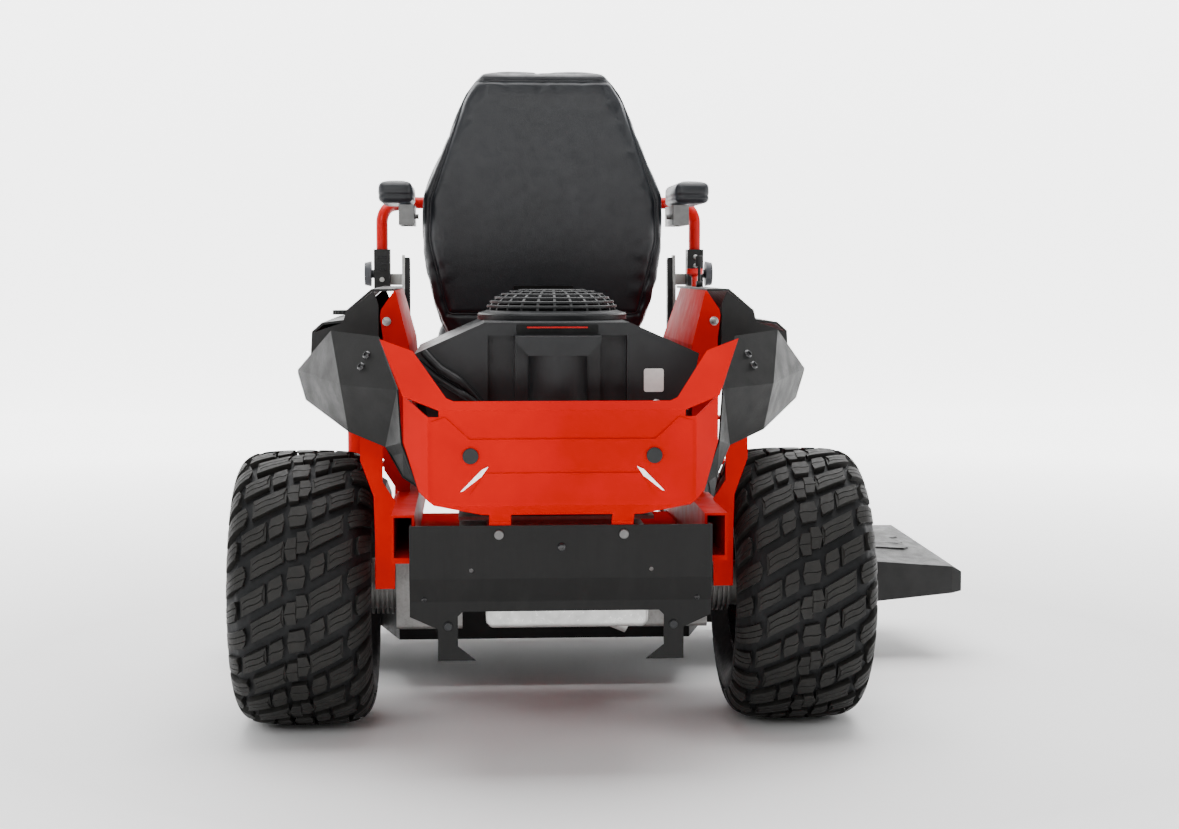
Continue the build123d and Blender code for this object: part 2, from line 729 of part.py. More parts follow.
def seat_pan():
    """Steel pan under the seat with hinge ears, the hinge pin and the seat back's strut."""
    hinge_z = SEAT_FLOOR - 8
    with BuildPart() as pan:
        block((-215, 215), (335, SEAT_HINGE_Y + 20), (SEAT_FLOOR + 3, SEAT_FLOOR + 7))
        for sign in SIDES.values():
            xs = (sign * (156 + NEAR), sign * 162)
            block(xs, (SEAT_HINGE_Y - 8, SEAT_HINGE_Y + 8), (SEAT_FLOOR - 18, SEAT_FLOOR + 3))
        rod((-166, SEAT_HINGE_Y, hinge_z), (166, SEAT_HINGE_Y, hinge_z), PIN)
        strut = back_plane().offset(BACK_THICK + NEAR)
        outline(strut, [(-60, -86), (60, -86), (60, 130), (-60, 130)], 8)
    keep("seat_pan", pan)


def seat_cushion():
    """Bottom cushion, a plain padded block with rounded edges."""
    with BuildPart() as cushion:
        block((-228, 228), (450, 850), (SEAT_FLOOR + 7 + NEAR, CUSHION_TOP))
        fillet(cushion.edges().filter_by(Axis.Z), 60)
        fillet(cushion.faces().sort_by(Axis.Z)[-1].edges(), 30)
    keep("seat_cushion", cushion)


def seat_back():
    """Tall back cushion that narrows towards its top, leaning rearwards."""
    foot = BACK_FOOT_Z
    profile = [
        (-190, foot),
        (190, foot),
        (232, 790),
        (SEAT_HALF, 885),
        (SEAT_HALF, 1000),
        (165, 1190),
        (125, SEAT_TOP),
        (-125, SEAT_TOP),
        (-165, 1190),
        (-SEAT_HALF, 1000),
        (-SEAT_HALF, 885),
        (-232, 790),
    ]
    stretch = cos(radians(RECLINE))
    shape = [(x, (z - foot) / stretch) for x, z in profile]
    with BuildPart() as back:
        outline(back_plane(), shape, BACK_THICK)
        fillet(back.edges(), 14)
    keep("seat_back", back)


def armrest(side):
    """Padded armrest over a channel that turns on a pin fixed in the seat back."""
    sign = SIDES[side]
    inner = SEAT_HALF + 8
    y, z = ARM_PIVOT
    with BuildPart() as rest:
        block((sign * inner, sign * (inner + ARM_PAD)), (240, 478), (970 + NEAR, 1017))
        fillet(rest.edges().filter_by(Axis.Y), 12)
        fillet(rest.edges().filter_by(Axis.Z), 16)
    with BuildPart() as channel:
        block((sign * inner, sign * (inner + 30)), (262, 440), (930, 970))
        block((sign * (inner + 4), sign * (inner + 26)), (270, 432), (925, 966), Mode.SUBTRACT)
        rod((sign * (inner - 8 + NEAR), y, z), (sign * (inner + 30), y, z), PIN)
    keep(f"armrest_{side}", rest)
    keep(f"armrest_bracket_{side}", channel)


# Hand controls ---------------------------------------------------------------------------------
BAR_PIVOT_Z = 820.0
CLAMP_HALF = 20.0
CLAMP_TOP = 884.0
LEVER_PIN = 8.0
CONSOLE_X = 308.0


def lap_lever(side):
    """Flat lever plate on a pivot tube, with an arm and pin that carry the swing-out bar."""
    sign = SIDES[side]
    y, z = LEVER_PIVOT
    x = LAP_BAR_X
    plate = [(y - 22, z - 22), (y + 22, z - 22), (y + 20, 872), (y - 6, 872), (y - 20, 800)]
    arm = (y + CLAMP_HALF + NEAR, y + CLAMP_HALF + 6)
    with BuildPart() as lever:
        outline(side_plane(min(sign * LEVER_X, sign * (LEVER_X + 6))), plate, 6)
        rod((sign * (RAIL_OUTSIDE - 21 + SHEET + NEAR), y, z), (sign * (LEVER_X + 13), y, z), LEVER_PIN + 6)
        block((sign * (LEVER_X + 6), sign * (x + 12)), arm, (BAR_PIVOT_Z - 12, BAR_PIVOT_Z + 12))
        block((sign * LEVER_X, sign * (LEVER_X + 6)), (y, arm[1]), (BAR_PIVOT_Z - 12, BAR_PIVOT_Z + 12))
        rod((sign * x, arm[1], BAR_PIVOT_Z), (sign * x, y - CLAMP_HALF - 6, BAR_PIVOT_Z), PIN)
        rod((sign * (LEVER_X - 40), y, z), (sign * (LEVER_X + 40), y, z), LEVER_PIN + FIT, Mode.SUBTRACT)
    keep(f"lap_lever_{side}", lever)


def lap_bar(side):
    """Round tube with a clamp block on the swing-out pin, an inward bend and a locking knob."""
    sign = SIDES[side]
    y = LEVER_PIVOT[0]
    x = sign * LAP_BAR_X
    start = (x, y, CLAMP_TOP)
    points = [start, (x, y, 972), (x - sign * 55, y + 60, 985), (sign * 75, y + 150, 985)]
    knob_z = BAR_PIVOT_Z + 12
    with BuildPart() as bar:
        with BuildLine():
            path = FilletPolyline(*points, radius=38)
        with BuildSketch(Plane(origin=path @ 0, z_dir=path % 0)):
            Circle(LAP_TUBE)
        sweep()
        block((x - 17, x + 17), (y - CLAMP_HALF, y + CLAMP_HALF), (798, CLAMP_TOP))
        bore = [(x, end, BAR_PIVOT_Z) for end in (y - CLAMP_HALF - 1, y + CLAMP_HALF + 1)]
        rod(*bore, PIN + FIT, Mode.SUBTRACT)
    with BuildPart() as knob:
        section = [(0, 0), (0, 9), (6, 9), (6, 27), (20, 24), (20, 0)]
        turned((x + sign * 17, y, knob_z), mirrored(side, section))
    keep(f"lap_bar_{side}", Part() + [bar.part.solids()[0], knob.part.solids()[0]])


def controls():
    """Throttle lever and blade clutch knob on the right console."""
    x = CONSOLE_X
    with BuildPart() as throttle:
        pivot = FENDER_FLAT + 6 + NEAR
        rod((x, 250, pivot), (x, 250, pivot + 42), 3)
        rod((x, 250, pivot + 34), (x, 250, pivot + 56), 8)
        fillet(throttle.faces().sort_by(Axis.Z)[-1].edges(), 3)
        rod((x - 6, 250, pivot), (x + 6, 250, pivot), 6)
    with BuildPart() as clutch:
        stem = FENDER_FLAT + NEAR
        button = [(0, stem), (6, stem), (6, stem + 20), (17, stem + 26), (17, stem + 36), (0, stem + 36)]
        turned_up((x, 330, 0), button)
    keep("throttle_lever", throttle)
    keep("clutch_knob", clutch)


# Drive wheels ----------------------------------------------------------------------------------
HUB_RADIUS = 36.0
AXLE_RADIUS = 15.0


def rear_tyre(side):
    """Drive tyre: crowned tread, rounded shoulders and sidewalls, open towards the rim."""
    half = TYRE_WIDTH / 2
    outer = TYRE_DIAMETER / 2
    bead = RIM_DIAMETER / 2 + BEAD
    seat = RIM_WIDTH / 2 - 6
    flange = RIM_DIAMETER / 2 + RIM_FLANGE + 1
    section = [
        (-seat + NEAR, bead),
        (-seat - 2 + NEAR, flange),
        (-half + 14, flange + 16),
        (-half, bead + 62),
        (-half + 2, outer - 36),
        (-half + 18, outer - 14),
        (-half + 48, outer - 3),
        (0, outer),
    ]
    section += [(-u, v) for u, v in reversed(section[:-1])]
    wall = 14.0
    bore = [
        (seat - wall, bead),
        (half - 14 - wall, bead + 30),
        (half - wall - 4, bead + 62),
        (half - 44, outer - 30),
        (-half + 44, outer - 30),
        (-half + wall + 4, bead + 62),
        (-half + 14 + wall, bead + 30),
        (-seat + wall, bead),
    ]
    with BuildPart() as tyre:
        turned((SIDES[side] * TRACK_HALF, 0, AXLE_Z), section + bore)
    keep(f"rear_tyre_{side}", tyre)


def rear_rim(side):
    """Pressed rim with a dished disc, hub, wheel studs and the driven axle shaft."""
    sign = SIDES[side]
    centre = (sign * TRACK_HALF, 0, AXLE_Z)
    half = RIM_WIDTH / 2
    seat = RIM_DIAMETER / 2
    section = [
        (-half, seat - 4),
        (-half, seat + RIM_FLANGE),
        (-half + 4, seat + RIM_FLANGE),
        (-half + 6, seat),
        (-half + 30, seat),
        (-half + 46, seat - 20),
        (half - 46, seat - 20),
        (half - 30, seat),
        (half - 6, seat),
        (half - 4, seat + RIM_FLANGE),
        (half, seat + RIM_FLANGE),
        (half, seat - 4),
        (half - 32, seat - 4),
        (half - 48, seat - 24),
        (-half + 48, seat - 24),
        (-half + 32, seat - 4),
    ]
    disc_x = sign * 18
    disc = [
        (disc_x - 3, HUB_RADIUS - 4),
        (disc_x - 3, 74),
        (disc_x - 3 + sign * 12, 92),
        (disc_x - 3 + sign * 12, seat - 22),
        (disc_x + 3 + sign * 12, seat - 22),
        (disc_x + 3 + sign * 12, 92),
        (disc_x + 3, 74),
        (disc_x + 3, HUB_RADIUS - 4),
    ]
    with BuildPart() as rim:
        turned(centre, section)
        turned(centre, disc)
        x = centre[0]
        rod((x + disc_x - sign * 14, 0, AXLE_Z), (x + disc_x + sign * 10, 0, AXLE_Z), HUB_RADIUS)
        rod((x - sign * 190, 0, AXLE_Z), (x + disc_x, 0, AXLE_Z), AXLE_RADIUS)
        with BuildSketch(side_plane(x + disc_x - sign * 3)):
            with Locations((0, AXLE_Z)):
                with PolarLocations(57, 5):
                    RegularPolygon(11, 6)
        extrude(amount=18 * sign)
    keep(f"rear_rim_{side}", rim)


def transaxle(side):
    """Cast hydrostatic transaxle hung under the plate, with fins and an axle horn."""
    sign = SIDES[side]
    top = RAIL_BOTTOM - PLATE - NEAR
    horn_end = TRACK_HALF - 52
    with BuildPart() as drive:
        block((sign * 165, sign * 285), (-85, 95), (186, 318))
        block((sign * 190, sign * 260), (-60, 70), (318, top))
        fillet(drive.edges().filter_by(Axis.X), 8)
        rod((sign * 285, 0, AXLE_Z), (sign * horn_end, 0, AXLE_Z), 42)
        for step in range(5):
            x = sign * (292 + 9 * step)
            rod((x, 0, AXLE_Z), (x + sign * 4, 0, AXLE_Z), 52)
        bore = [(sign * x, 0, AXLE_Z) for x in (240, horn_end + 1)]
        rod(*bore, AXLE_RADIUS + FIT, Mode.SUBTRACT)
        rod((sign * 225, 30, 186), (sign * 225, 30, 176), 26)
    keep(f"transaxle_{side}", drive)


# Casters ---------------------------------------------------------------------------------------
CASTER_AXLE = 10.0
FORK_LEG = 8.0
FORK_SPACE = 8.0


def caster_fork(side):
    """Fork with its swivel stem, crown, two legs and the wheel axle."""
    sign = SIDES[side]
    x = sign * CASTER_HALF
    wheel_z = CASTER_DIAMETER / 2
    leg = CASTER_WIDTH / 2 + FORK_SPACE
    crown_low = CROWN_TOP - CROWN
    shape = [
        (CASTER_Y - 34, CROWN_TOP),
        (CASTER_Y + 34, CROWN_TOP),
        (CASTER_Y + 34, CROWN_TOP - 40),
        (WHEELBASE + 24, wheel_z + 4),
        (WHEELBASE + 14, wheel_z - 24),
        (WHEELBASE - 14, wheel_z - 24),
        (WHEELBASE - 24, wheel_z + 4),
    ]
    with BuildPart() as fork:
        outside = (x - leg - FORK_LEG, x + leg + FORK_LEG)
        block(outside, (CASTER_Y - 34, CASTER_Y + 34), (crown_low, CROWN_TOP))
        for offset in (-leg - FORK_LEG, leg):
            outline(side_plane(x + offset), shape, FORK_LEG)
        rod((x, CASTER_Y, CROWN_TOP), (x, CASTER_Y, BARREL_TOP + 6), STEM_RADIUS)
        rod((x, CASTER_Y, BARREL_TOP + NEAR), (x, CASTER_Y, BARREL_TOP + 12), 24)
        end = leg + FORK_LEG + 9
        rod((x - end, WHEELBASE, wheel_z), (x + end, WHEELBASE, wheel_z), CASTER_AXLE)
        for offset in (-end, leg + FORK_LEG):
            with BuildSketch(side_plane(x + offset)):
                with Locations((WHEELBASE, wheel_z)):
                    RegularPolygon(17, 6)
            extrude(amount=9)
    keep(f"caster_fork_{side}", fork)


def caster_rim(side):
    """Front wheel rim with a tubular hub that runs on the fork's axle."""
    centre = (SIDES[side] * CASTER_HALF, WHEELBASE, CASTER_DIAMETER / 2)
    half = 66.0
    seat = CASTER_RIM / 2
    hub = CASTER_WIDTH / 2 + FORK_SPACE - 1.5
    bore = CASTER_AXLE + FIT
    section = [
        (-hub, bore),
        (-hub, 26),
        (-8, 26),
        (-4, seat - 16),
        (-half + 22, seat - 16),
        (-half + 12, seat),
        (-half, seat),
        (-half, seat + 9),
        (-half + 4, seat + 9),
        (-half + 4, seat + 4),
        (half - 4, seat + 4),
        (half - 4, seat + 9),
        (half, seat + 9),
        (half, seat),
        (half - 12, seat),
        (half - 22, seat - 16),
        (4, seat - 16),
        (8, 26),
        (hub, 26),
        (hub, bore),
    ]
    with BuildPart() as rim:
        turned(centre, section)
    keep(f"caster_rim_{side}", rim)


def caster_tyre(side):
    """Smooth ribbed front tyre."""
    centre = (SIDES[side] * CASTER_HALF, WHEELBASE, CASTER_DIAMETER / 2)
    half = CASTER_WIDTH / 2
    outer = CASTER_DIAMETER / 2
    bead = CASTER_RIM / 2 + 4 + BEAD
    section = [
        (-62 + NEAR, bead),
        (-62 + NEAR, bead + 6),
        (-half + 6, bead + 20),
        (-half, bead + 42),
        (-half + 10, outer - 16),
        (-half + 30, outer - 4),
        (0, outer),
    ]
    section += [(-u, v) for u, v in reversed(section[:-1])]
    with BuildPart() as tyre:
        turned(centre, section)
        for groove in (-36, -12, 12, 36):
            low, high = groove - 3, groove + 3
            ring = [(low, outer - 9), (high, outer - 9), (high, outer + 2), (low, outer + 2)]
            turned(centre, ring, Mode.SUBTRACT)
    keep(f"caster_tyre_{side}", tyre)


# Mower deck ------------------------------------------------------------------------------------
LOBE = BLADE_LENGTH / 2 + BLADE_GAP
DECK_RIGHT = SPINDLE_SPREAD + LOBE
SPINDLES = {
    "left": (-SPINDLE_SPREAD, SPINDLE_OUTER_Y),
    "centre": (0.0, SPINDLE_CENTRE_Y),
    "right": (SPINDLE_SPREAD, SPINDLE_OUTER_Y),
}
DECK_REAR = SPINDLE_CENTRE_Y - LOBE
DECK_FRONT = SPINDLE_OUTER_Y + LOBE
OUTLET_REAR = SPINDLE_OUTER_Y - 165
OUTLET_FRONT = SPINDLE_OUTER_Y + 205
HOUSING = 44.0


def deck_outline(shrink):
    """Plan of the deck, drawn in by shrink, in the open sketch."""
    for x, y in SPINDLES.values():
        with Locations((x, y)):
            Circle(LOBE - shrink)
    rear_half = 293.0 - shrink
    with BuildLine() as middle:
        Polyline(
            (-rear_half, DECK_REAR + shrink),
            (rear_half, DECK_REAR + shrink),
            (SPINDLE_SPREAD, SPINDLE_OUTER_Y),
            (SPINDLE_SPREAD, DECK_FRONT - shrink),
            (-SPINDLE_SPREAD, DECK_FRONT - shrink),
            (-SPINDLE_SPREAD, SPINDLE_OUTER_Y),
            close=True,
        )
    make_face(middle.line)
    with BuildLine() as outlet:
        Polyline(
            (SPINDLE_SPREAD, OUTLET_REAR + shrink),
            (DECK_RIGHT - shrink, OUTLET_REAR + shrink),
            (DECK_RIGHT - shrink, DECK_FRONT - shrink),
            (SPINDLE_SPREAD, DECK_FRONT - shrink),
            close=True,
        )
    make_face(outlet.line)


def deck_shell():
    """Welded deck: top plate, skirt, side outlet, spindle housings and chute hinge lugs."""
    with BuildPart() as deck:
        with BuildSketch(Plane.XY.offset(DECK_SKIRT)):
            deck_outline(0)
        extrude(amount=DECK_TOP - DECK_SKIRT)
        with BuildSketch(Plane.XY.offset(DECK_SKIRT)):
            deck_outline(DECK_WALL)
        extrude(amount=DECK_TOP - DECK_SKIRT - DECK_WALL, mode=Mode.SUBTRACT)
        outlet = (OUTLET_REAR + 12, OUTLET_FRONT - 12)
        opening = (DECK_SKIRT - 1, DECK_TOP - DECK_WALL)
        block((DECK_RIGHT - 40, DECK_RIGHT + 1), outlet, opening, Mode.SUBTRACT)
        for x, y in SPINDLES.values():
            housing = [(0, DECK_TOP), (60, DECK_TOP), (HOUSING, DECK_TOP + 16), (0, DECK_TOP + 16)]
            turned_up((x, y, 0), housing)
            rod((x, y, DECK_TOP - DECK_WALL - 34), (x, y, DECK_TOP - DECK_WALL), HOUSING - 14)
            rod((x, y, DECK_SKIRT), (x, y, DECK_TOP + 20), SPINDLE_RADIUS + FIT, Mode.SUBTRACT)
        for sign in SIDES.values():
            x = sign * WHEEL_ARM_X
            arm = (DECK_FRONT - DECK_WALL / 2, GAUGE_Y + 14)
            block((x - 24, x - 18), arm, (DECK_SKIRT, DECK_TOP - 60))
            block((x + 18, x + 24), arm, (DECK_SKIRT, DECK_TOP - 60))
            rod((x - 30, GAUGE_Y, GAUGE_Z), (x + 30, GAUGE_Y, GAUGE_Z), GAUGE_AXLE)
            for y in HANGERS:
                xs = (sign * (RAIL_OUTSIDE + NEAR), sign * (RAIL_OUTSIDE + NEAR + 6))
                block(xs, (y - 20, y + 20), (DECK_TOP, RAIL_TOP - 22))
        for y in (OUTLET_REAR + 30, OUTLET_FRONT - 44):
            block((DECK_RIGHT - 20, HINGE_X + 6), (y, y + 14), (DECK_TOP, HINGE_Z + 6))
        rod((HINGE_X, OUTLET_REAR + 10, HINGE_Z), (HINGE_X, OUTLET_FRONT - 10, HINGE_Z), HINGE_ROD)
    keep("deck_shell", deck)


HINGE_X = DECK_RIGHT + 10
HINGE_Z = DECK_TOP + 10
HINGE_ROD = 4.0
WHEEL_ARM_X = 330.0
GAUGE_Z = 118.0
GAUGE_RADIUS = 50.0
GAUGE_Y = DECK_FRONT + GAUGE_RADIUS + 8
GAUGE_AXLE = 6.0
CHUTE_REACH = 285.0
HANGERS = (540.0, 780.0)  # Y of the straps that guide the deck on the rails


def discharge_chute():
    """Moulded deflector: a sloping faceted top with walls and a drooping outer lip."""
    tip = DECK_RIGHT + CHUTE_REACH
    root = HINGE_X + HINGE_ROD + 6
    rear = OUTLET_REAR - 6
    front = OUTLET_FRONT + 30
    corners = [
        (root, rear, 222),
        (tip - 22, rear, 204),
        (tip, rear + 6, 192),
        (root, front, 240),
        (tip - 66, front, 240),
        (tip - 120, front - 130, 238),
        (tip, rear + 6, 150),
        (tip - 60, front, 192),
        (root, rear, 122),
        (tip - 22, rear, 146),
        (root, front, 150),
    ]
    facets = [
        [0, 1, 5, 3],
        [3, 5, 4],
        [1, 2, 5],
        [5, 2, 4],
        [2, 6, 7, 4],
        [0, 8, 9, 1],
        [1, 9, 6, 2],
        [3, 4, 7, 10],
    ]
    sheet = folded_sheet(corners, facets, 6, ((root + tip) / 2, (rear + front) / 2, 130))
    with BuildPart() as chute:
        add(sheet)
        for y in (OUTLET_REAR + 60, OUTLET_FRONT - 80):
            rod((HINGE_X, y, HINGE_Z), (HINGE_X, y + 20, HINGE_Z), HINGE_ROD + 5)
            block((HINGE_X, root + 20), (y, y + 20), (HINGE_Z - 18, HINGE_Z - 3))
            rod((HINGE_X, y - 1, HINGE_Z), (HINGE_X, y + 21, HINGE_Z), HINGE_ROD + FIT, Mode.SUBTRACT)
    keep("discharge_chute", chute)


def spindle(name):
    """Blade spindle with its drive pulley on top and a blade nut below."""
    x, y = SPINDLES[name]
    low = DECK_TOP + 22
    pulley = [
        (SPINDLE_RADIUS - 1, low),
        (66, low),
        (54, low + 8),
        (66, low + 16),
        (SPINDLE_RADIUS - 1, low + 16),
    ]
    with BuildPart() as turning:
        rod((x, y, BLADE_LEVEL - 16), (x, y, low + 26), SPINDLE_RADIUS)
        turned_up((x, y, 0), pulley)
        with BuildSketch(Plane.XY.offset(BLADE_LEVEL - 12)):
            with Locations((x, y)):
                RegularPolygon(19, 6)
        extrude(amount=12 - NEAR)
    keep(f"spindle_{name}", turning)


def blade(name):
    """Lift blade: a flat bar with turned-up trailing edges at its tips."""
    x, y = SPINDLES[name]
    half = BLADE_LENGTH / 2
    width = BLADE_WIDTH / 2
    level = BLADE_LEVEL
    with BuildPart() as bar:
        block((x - half, x + half), (y - width, y + width), (level, level + BLADE_THICK))
        for sign in (-1, 1):
            tip = (x + sign * half, x + sign * (half - 90))
            fin = [(width, level), (width, level + 26), (width - 5, level + 26), (width - 9, level)]
            profile = [(y + sign * u, v) for u, v in fin]
            outline(side_plane(min(tip)), profile, 90)
        rod((x, y, level - 1), (x, y, level + BLADE_THICK + 1), SPINDLE_RADIUS + FIT, Mode.SUBTRACT)
    keep(f"blade_{name}", bar)


def gauge_wheel(side):
    """Small roller that keeps the deck's front edge off the turf."""
    centre = (SIDES[side] * WHEEL_ARM_X, GAUGE_Y, GAUGE_Z)
    half = 17.0
    bore = GAUGE_AXLE + FIT
    section = [(-half, bore), (-half, GAUGE_RADIUS - 6), (-half + 6, GAUGE_RADIUS)]
    section += [(-u, v) for u, v in reversed(section)]
    with BuildPart() as wheel:
        turned(centre, section)
    keep(f"gauge_wheel_{side}", wheel)


# Assembly --------------------------------------------------------------------------------------
def build_all():
    for side in SIDES:
        frame_rail(side)
        frame_upright(side)
        fender_wing(side)
        side_panel(side)
        fender(side)
        armrest(side)
        lap_lever(side)
        lap_bar(side)
        rear_tyre(side)
        rear_rim(side)
        transaxle(side)
        caster_fork(side)
        caster_rim(side)
        caster_tyre(side)
        gauge_wheel(side)
    for name in SPINDLES:
        spindle(name)
        blade(name)
    front_beam()
    engine_plate()
    engine_block()
    engine_shroud()
    fan_guard()
    crankshaft()
    muffler()
    engine_hoses()
    rear_guard()
    muffler_guard()
    guard_fasteners()
    fuel_tank()
    fuel_cap()
    floor_pan()
    seat_support()
    seat_pan()
    seat_cushion()
    seat_back()
    controls()
    deck_shell()
    discharge_chute()


def export_all():
    """Moves the whole machine so that its box stands centred on the origin, then writes it."""
    boxes = [part.bounding_box() for part in pieces.values()]
    low = [min(getattr(box.min, axis) for box in boxes) for axis in "XYZ"]
    high = [max(getattr(box.max, axis) for box in boxes) for axis in "XYZ"]
    shift = Pos(-(low[0] + high[0]) / 2, -(low[1] + high[1]) / 2, -low[2])
    print("moved by", shift.position)
    os.makedirs("parts", exist_ok=True)
    for name, part in pieces.items():
        moved = shift * part
        moved.label = name
        export_step(moved, f"parts/{name}.step")


build_all()
export_all()
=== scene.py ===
"""Looks of the zero turn mower: tyres, simulated seat, engine grille, bolts, strips and materials."""

import json
import math
import bpy
import bmesh
import numpy as np
from mathutils import Matrix, Vector, noise
from mathutils.bvhtree import BVHTree


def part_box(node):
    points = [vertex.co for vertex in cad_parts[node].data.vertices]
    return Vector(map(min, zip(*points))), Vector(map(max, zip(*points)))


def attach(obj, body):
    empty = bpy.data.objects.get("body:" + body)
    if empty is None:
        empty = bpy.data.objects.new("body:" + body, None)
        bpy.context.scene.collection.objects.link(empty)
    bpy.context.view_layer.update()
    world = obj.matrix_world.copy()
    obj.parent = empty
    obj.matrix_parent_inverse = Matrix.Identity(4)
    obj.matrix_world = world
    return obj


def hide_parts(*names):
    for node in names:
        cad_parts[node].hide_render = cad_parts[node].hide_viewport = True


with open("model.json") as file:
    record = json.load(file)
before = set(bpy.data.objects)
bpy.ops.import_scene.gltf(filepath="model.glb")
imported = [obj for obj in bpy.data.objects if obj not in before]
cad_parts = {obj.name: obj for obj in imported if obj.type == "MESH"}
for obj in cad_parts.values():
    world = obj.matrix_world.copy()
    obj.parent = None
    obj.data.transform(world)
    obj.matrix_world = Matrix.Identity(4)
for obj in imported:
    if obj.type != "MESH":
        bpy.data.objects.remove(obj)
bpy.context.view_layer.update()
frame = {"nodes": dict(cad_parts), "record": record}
nodes = frame["nodes"]
scene = bpy.context.scene

# Origin of the design measures: the middle of the rear axle, on the ground.
left_low, left_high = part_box("rear_tyre_left")
right_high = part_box("rear_tyre_right")[1]
AXLE_X = (left_low.x + right_high.x) / 2
AXLE_Y = (left_low.y + left_high.y) / 2


def at(x, y, z):
    """A point given in millimetres from the middle of the rear axle, on the ground."""
    return Vector((AXLE_X + x / 1000, AXLE_Y + y / 1000, z / 1000))


# Materials -------------------------------------------------------------------------------------
class Nodes:
    """Small helper that builds one node material."""

    def __init__(self, name):
        self.material = bpy.data.materials.new(name)
        self.material.use_nodes = True
        self.tree = self.material.node_tree
        self.shader = self.tree.nodes["Principled BSDF"]
        self.place = self.tree.nodes.new("ShaderNodeTexCoord").outputs["Object"]

    def add(self, kind, **values):
        made = self.tree.nodes.new(kind)
        for key, value in values.items():
            if hasattr(made, key):
                setattr(made, key, value)
            else:
                made.inputs[key].default_value = value
        return made

    def link(self, out, into):
        self.tree.links.new(out, into)

    def stretched(self, scale):
        mapping = self.add("ShaderNodeMapping")
        mapping.inputs["Scale"].default_value = scale
        self.link(self.place, mapping.inputs["Vector"])
        return mapping.outputs["Vector"]

    def noise(self, scale, detail=4.0, rough=0.55, place=None):
        made = self.add("ShaderNodeTexNoise")
        made.inputs["Scale"].default_value = scale
        made.inputs["Detail"].default_value = detail
        made.inputs["Roughness"].default_value = rough
        self.link(place or self.place, made.inputs["Vector"])
        return made.outputs["Fac"]

    def cells(self, scale, feature="F1", place=None):
        made = self.add("ShaderNodeTexVoronoi", feature=feature)
        made.inputs["Scale"].default_value = scale
        self.link(place or self.place, made.inputs["Vector"])
        return made.outputs["Distance"]

    def spread(self, value, low, high, start=0.3, end=0.7):
        made = self.add("ShaderNodeMapRange")
        made.inputs["From Min"].default_value = start
        made.inputs["From Max"].default_value = end
        made.inputs["To Min"].default_value = low
        made.inputs["To Max"].default_value = high
        self.link(value, made.inputs["Value"])
        return made.outputs["Result"]

    def tint(self, value, dark, light, start=0.35, end=0.65):
        made = self.add("ShaderNodeValToRGB")
        made.color_ramp.elements[0].position = start
        made.color_ramp.elements[1].position = end
        made.color_ramp.elements[0].color = (*dark, 1)
        made.color_ramp.elements[1].color = (*light, 1)
        self.link(value, made.inputs["Fac"])
        return made.outputs["Color"]

    def over(self, factor, under, top):
        made = self.add("ShaderNodeMix", data_type="RGBA")
        self.link(factor, made.inputs["Factor"])
        self.link(under, made.inputs["A"])
        self.link(top, made.inputs["B"])
        return made.outputs["Result"]

    def bumps(self, *layers):
        """Bump layers, each (height, strength, distance in metres), one on the next."""
        normal = None
        for height, strength, distance in layers:
            made = self.add("ShaderNodeBump")
            made.inputs["Strength"].default_value = strength
            made.inputs["Distance"].default_value = distance
            self.link(height, made.inputs["Height"])
            if normal:
                self.link(normal, made.inputs["Normal"])
            normal = made.outputs["Normal"]
        self.link(normal, self.shader.inputs["Normal"])


def scaled(colour, factor):
    return tuple(min(1.0, c * factor) for c in colour)


def powder_coat(name, colour, rough, grain, bump, coat=0.0, sheen_streaks=None, wear=0.0, shine=0.3):
    """Baked powder coat: orange peel, fine grain, slight blotches, and painted sheen as lighter streaks if
    wanted.
    """
    m = Nodes(name)
    cloud = m.noise(5.0, 3.0)
    base = m.tint(cloud, scaled(colour, 0.88), scaled(colour, 1.1))
    if wear:
        specks = m.spread(m.noise(90.0, 8.0, 0.75), 0.0, wear, 0.62, 0.78)
        base = m.over(specks, base, m.tint(cloud, scaled(colour, 2.0), scaled(colour, 2.6)))
    roughness = m.noise(28.0, 5.0)
    if sheen_streaks:
        # Lighter vertical streaks in the colour are painted sheen; the same streaks also set the roughness.
        streak = m.noise(1.0, 6.0, 0.6, m.stretched(sheen_streaks))
        painted_sheen = m.spread(streak, 0.0, 0.5, 0.52, 0.74)
        base = m.over(painted_sheen, base, m.tint(cloud, scaled(colour, 1.7), scaled(colour, 2.3)))
        roughness = streak
    m.link(base, m.shader.inputs["Base Color"])
    m.link(m.spread(roughness, rough - 0.07, rough + 0.09), m.shader.inputs["Roughness"])
    m.bumps((m.noise(grain, 2.0), bump, 0.0004), (m.noise(grain / 7, 2.0), bump * 0.5, 0.0008))
    m.shader.inputs["Specular IOR Level"].default_value = shine
    m.shader.inputs["Coat Weight"].default_value = coat
    m.shader.inputs["Coat Roughness"].default_value = 0.08
    return m.material


def moulded(name, colour, rough, grain=1400.0, bump=0.25, specular=0.32):
    """Moulded plastic: spark-eroded grain, flow marks and dusty patches."""
    m = Nodes(name)
    dust = m.noise(9.0, 6.0, 0.65)
    m.link(m.tint(dust, scaled(colour, 0.82), scaled(colour, 1.3)), m.shader.inputs["Base Color"])
    m.link(m.spread(m.noise(40.0, 4.0), rough - 0.08, rough + 0.1), m.shader.inputs["Roughness"])
    m.bumps((m.cells(grain), bump, 0.0003), (m.noise(14.0, 2.0), 0.15, 0.002))
    m.shader.inputs["Specular IOR Level"].default_value = specular
    return m.material


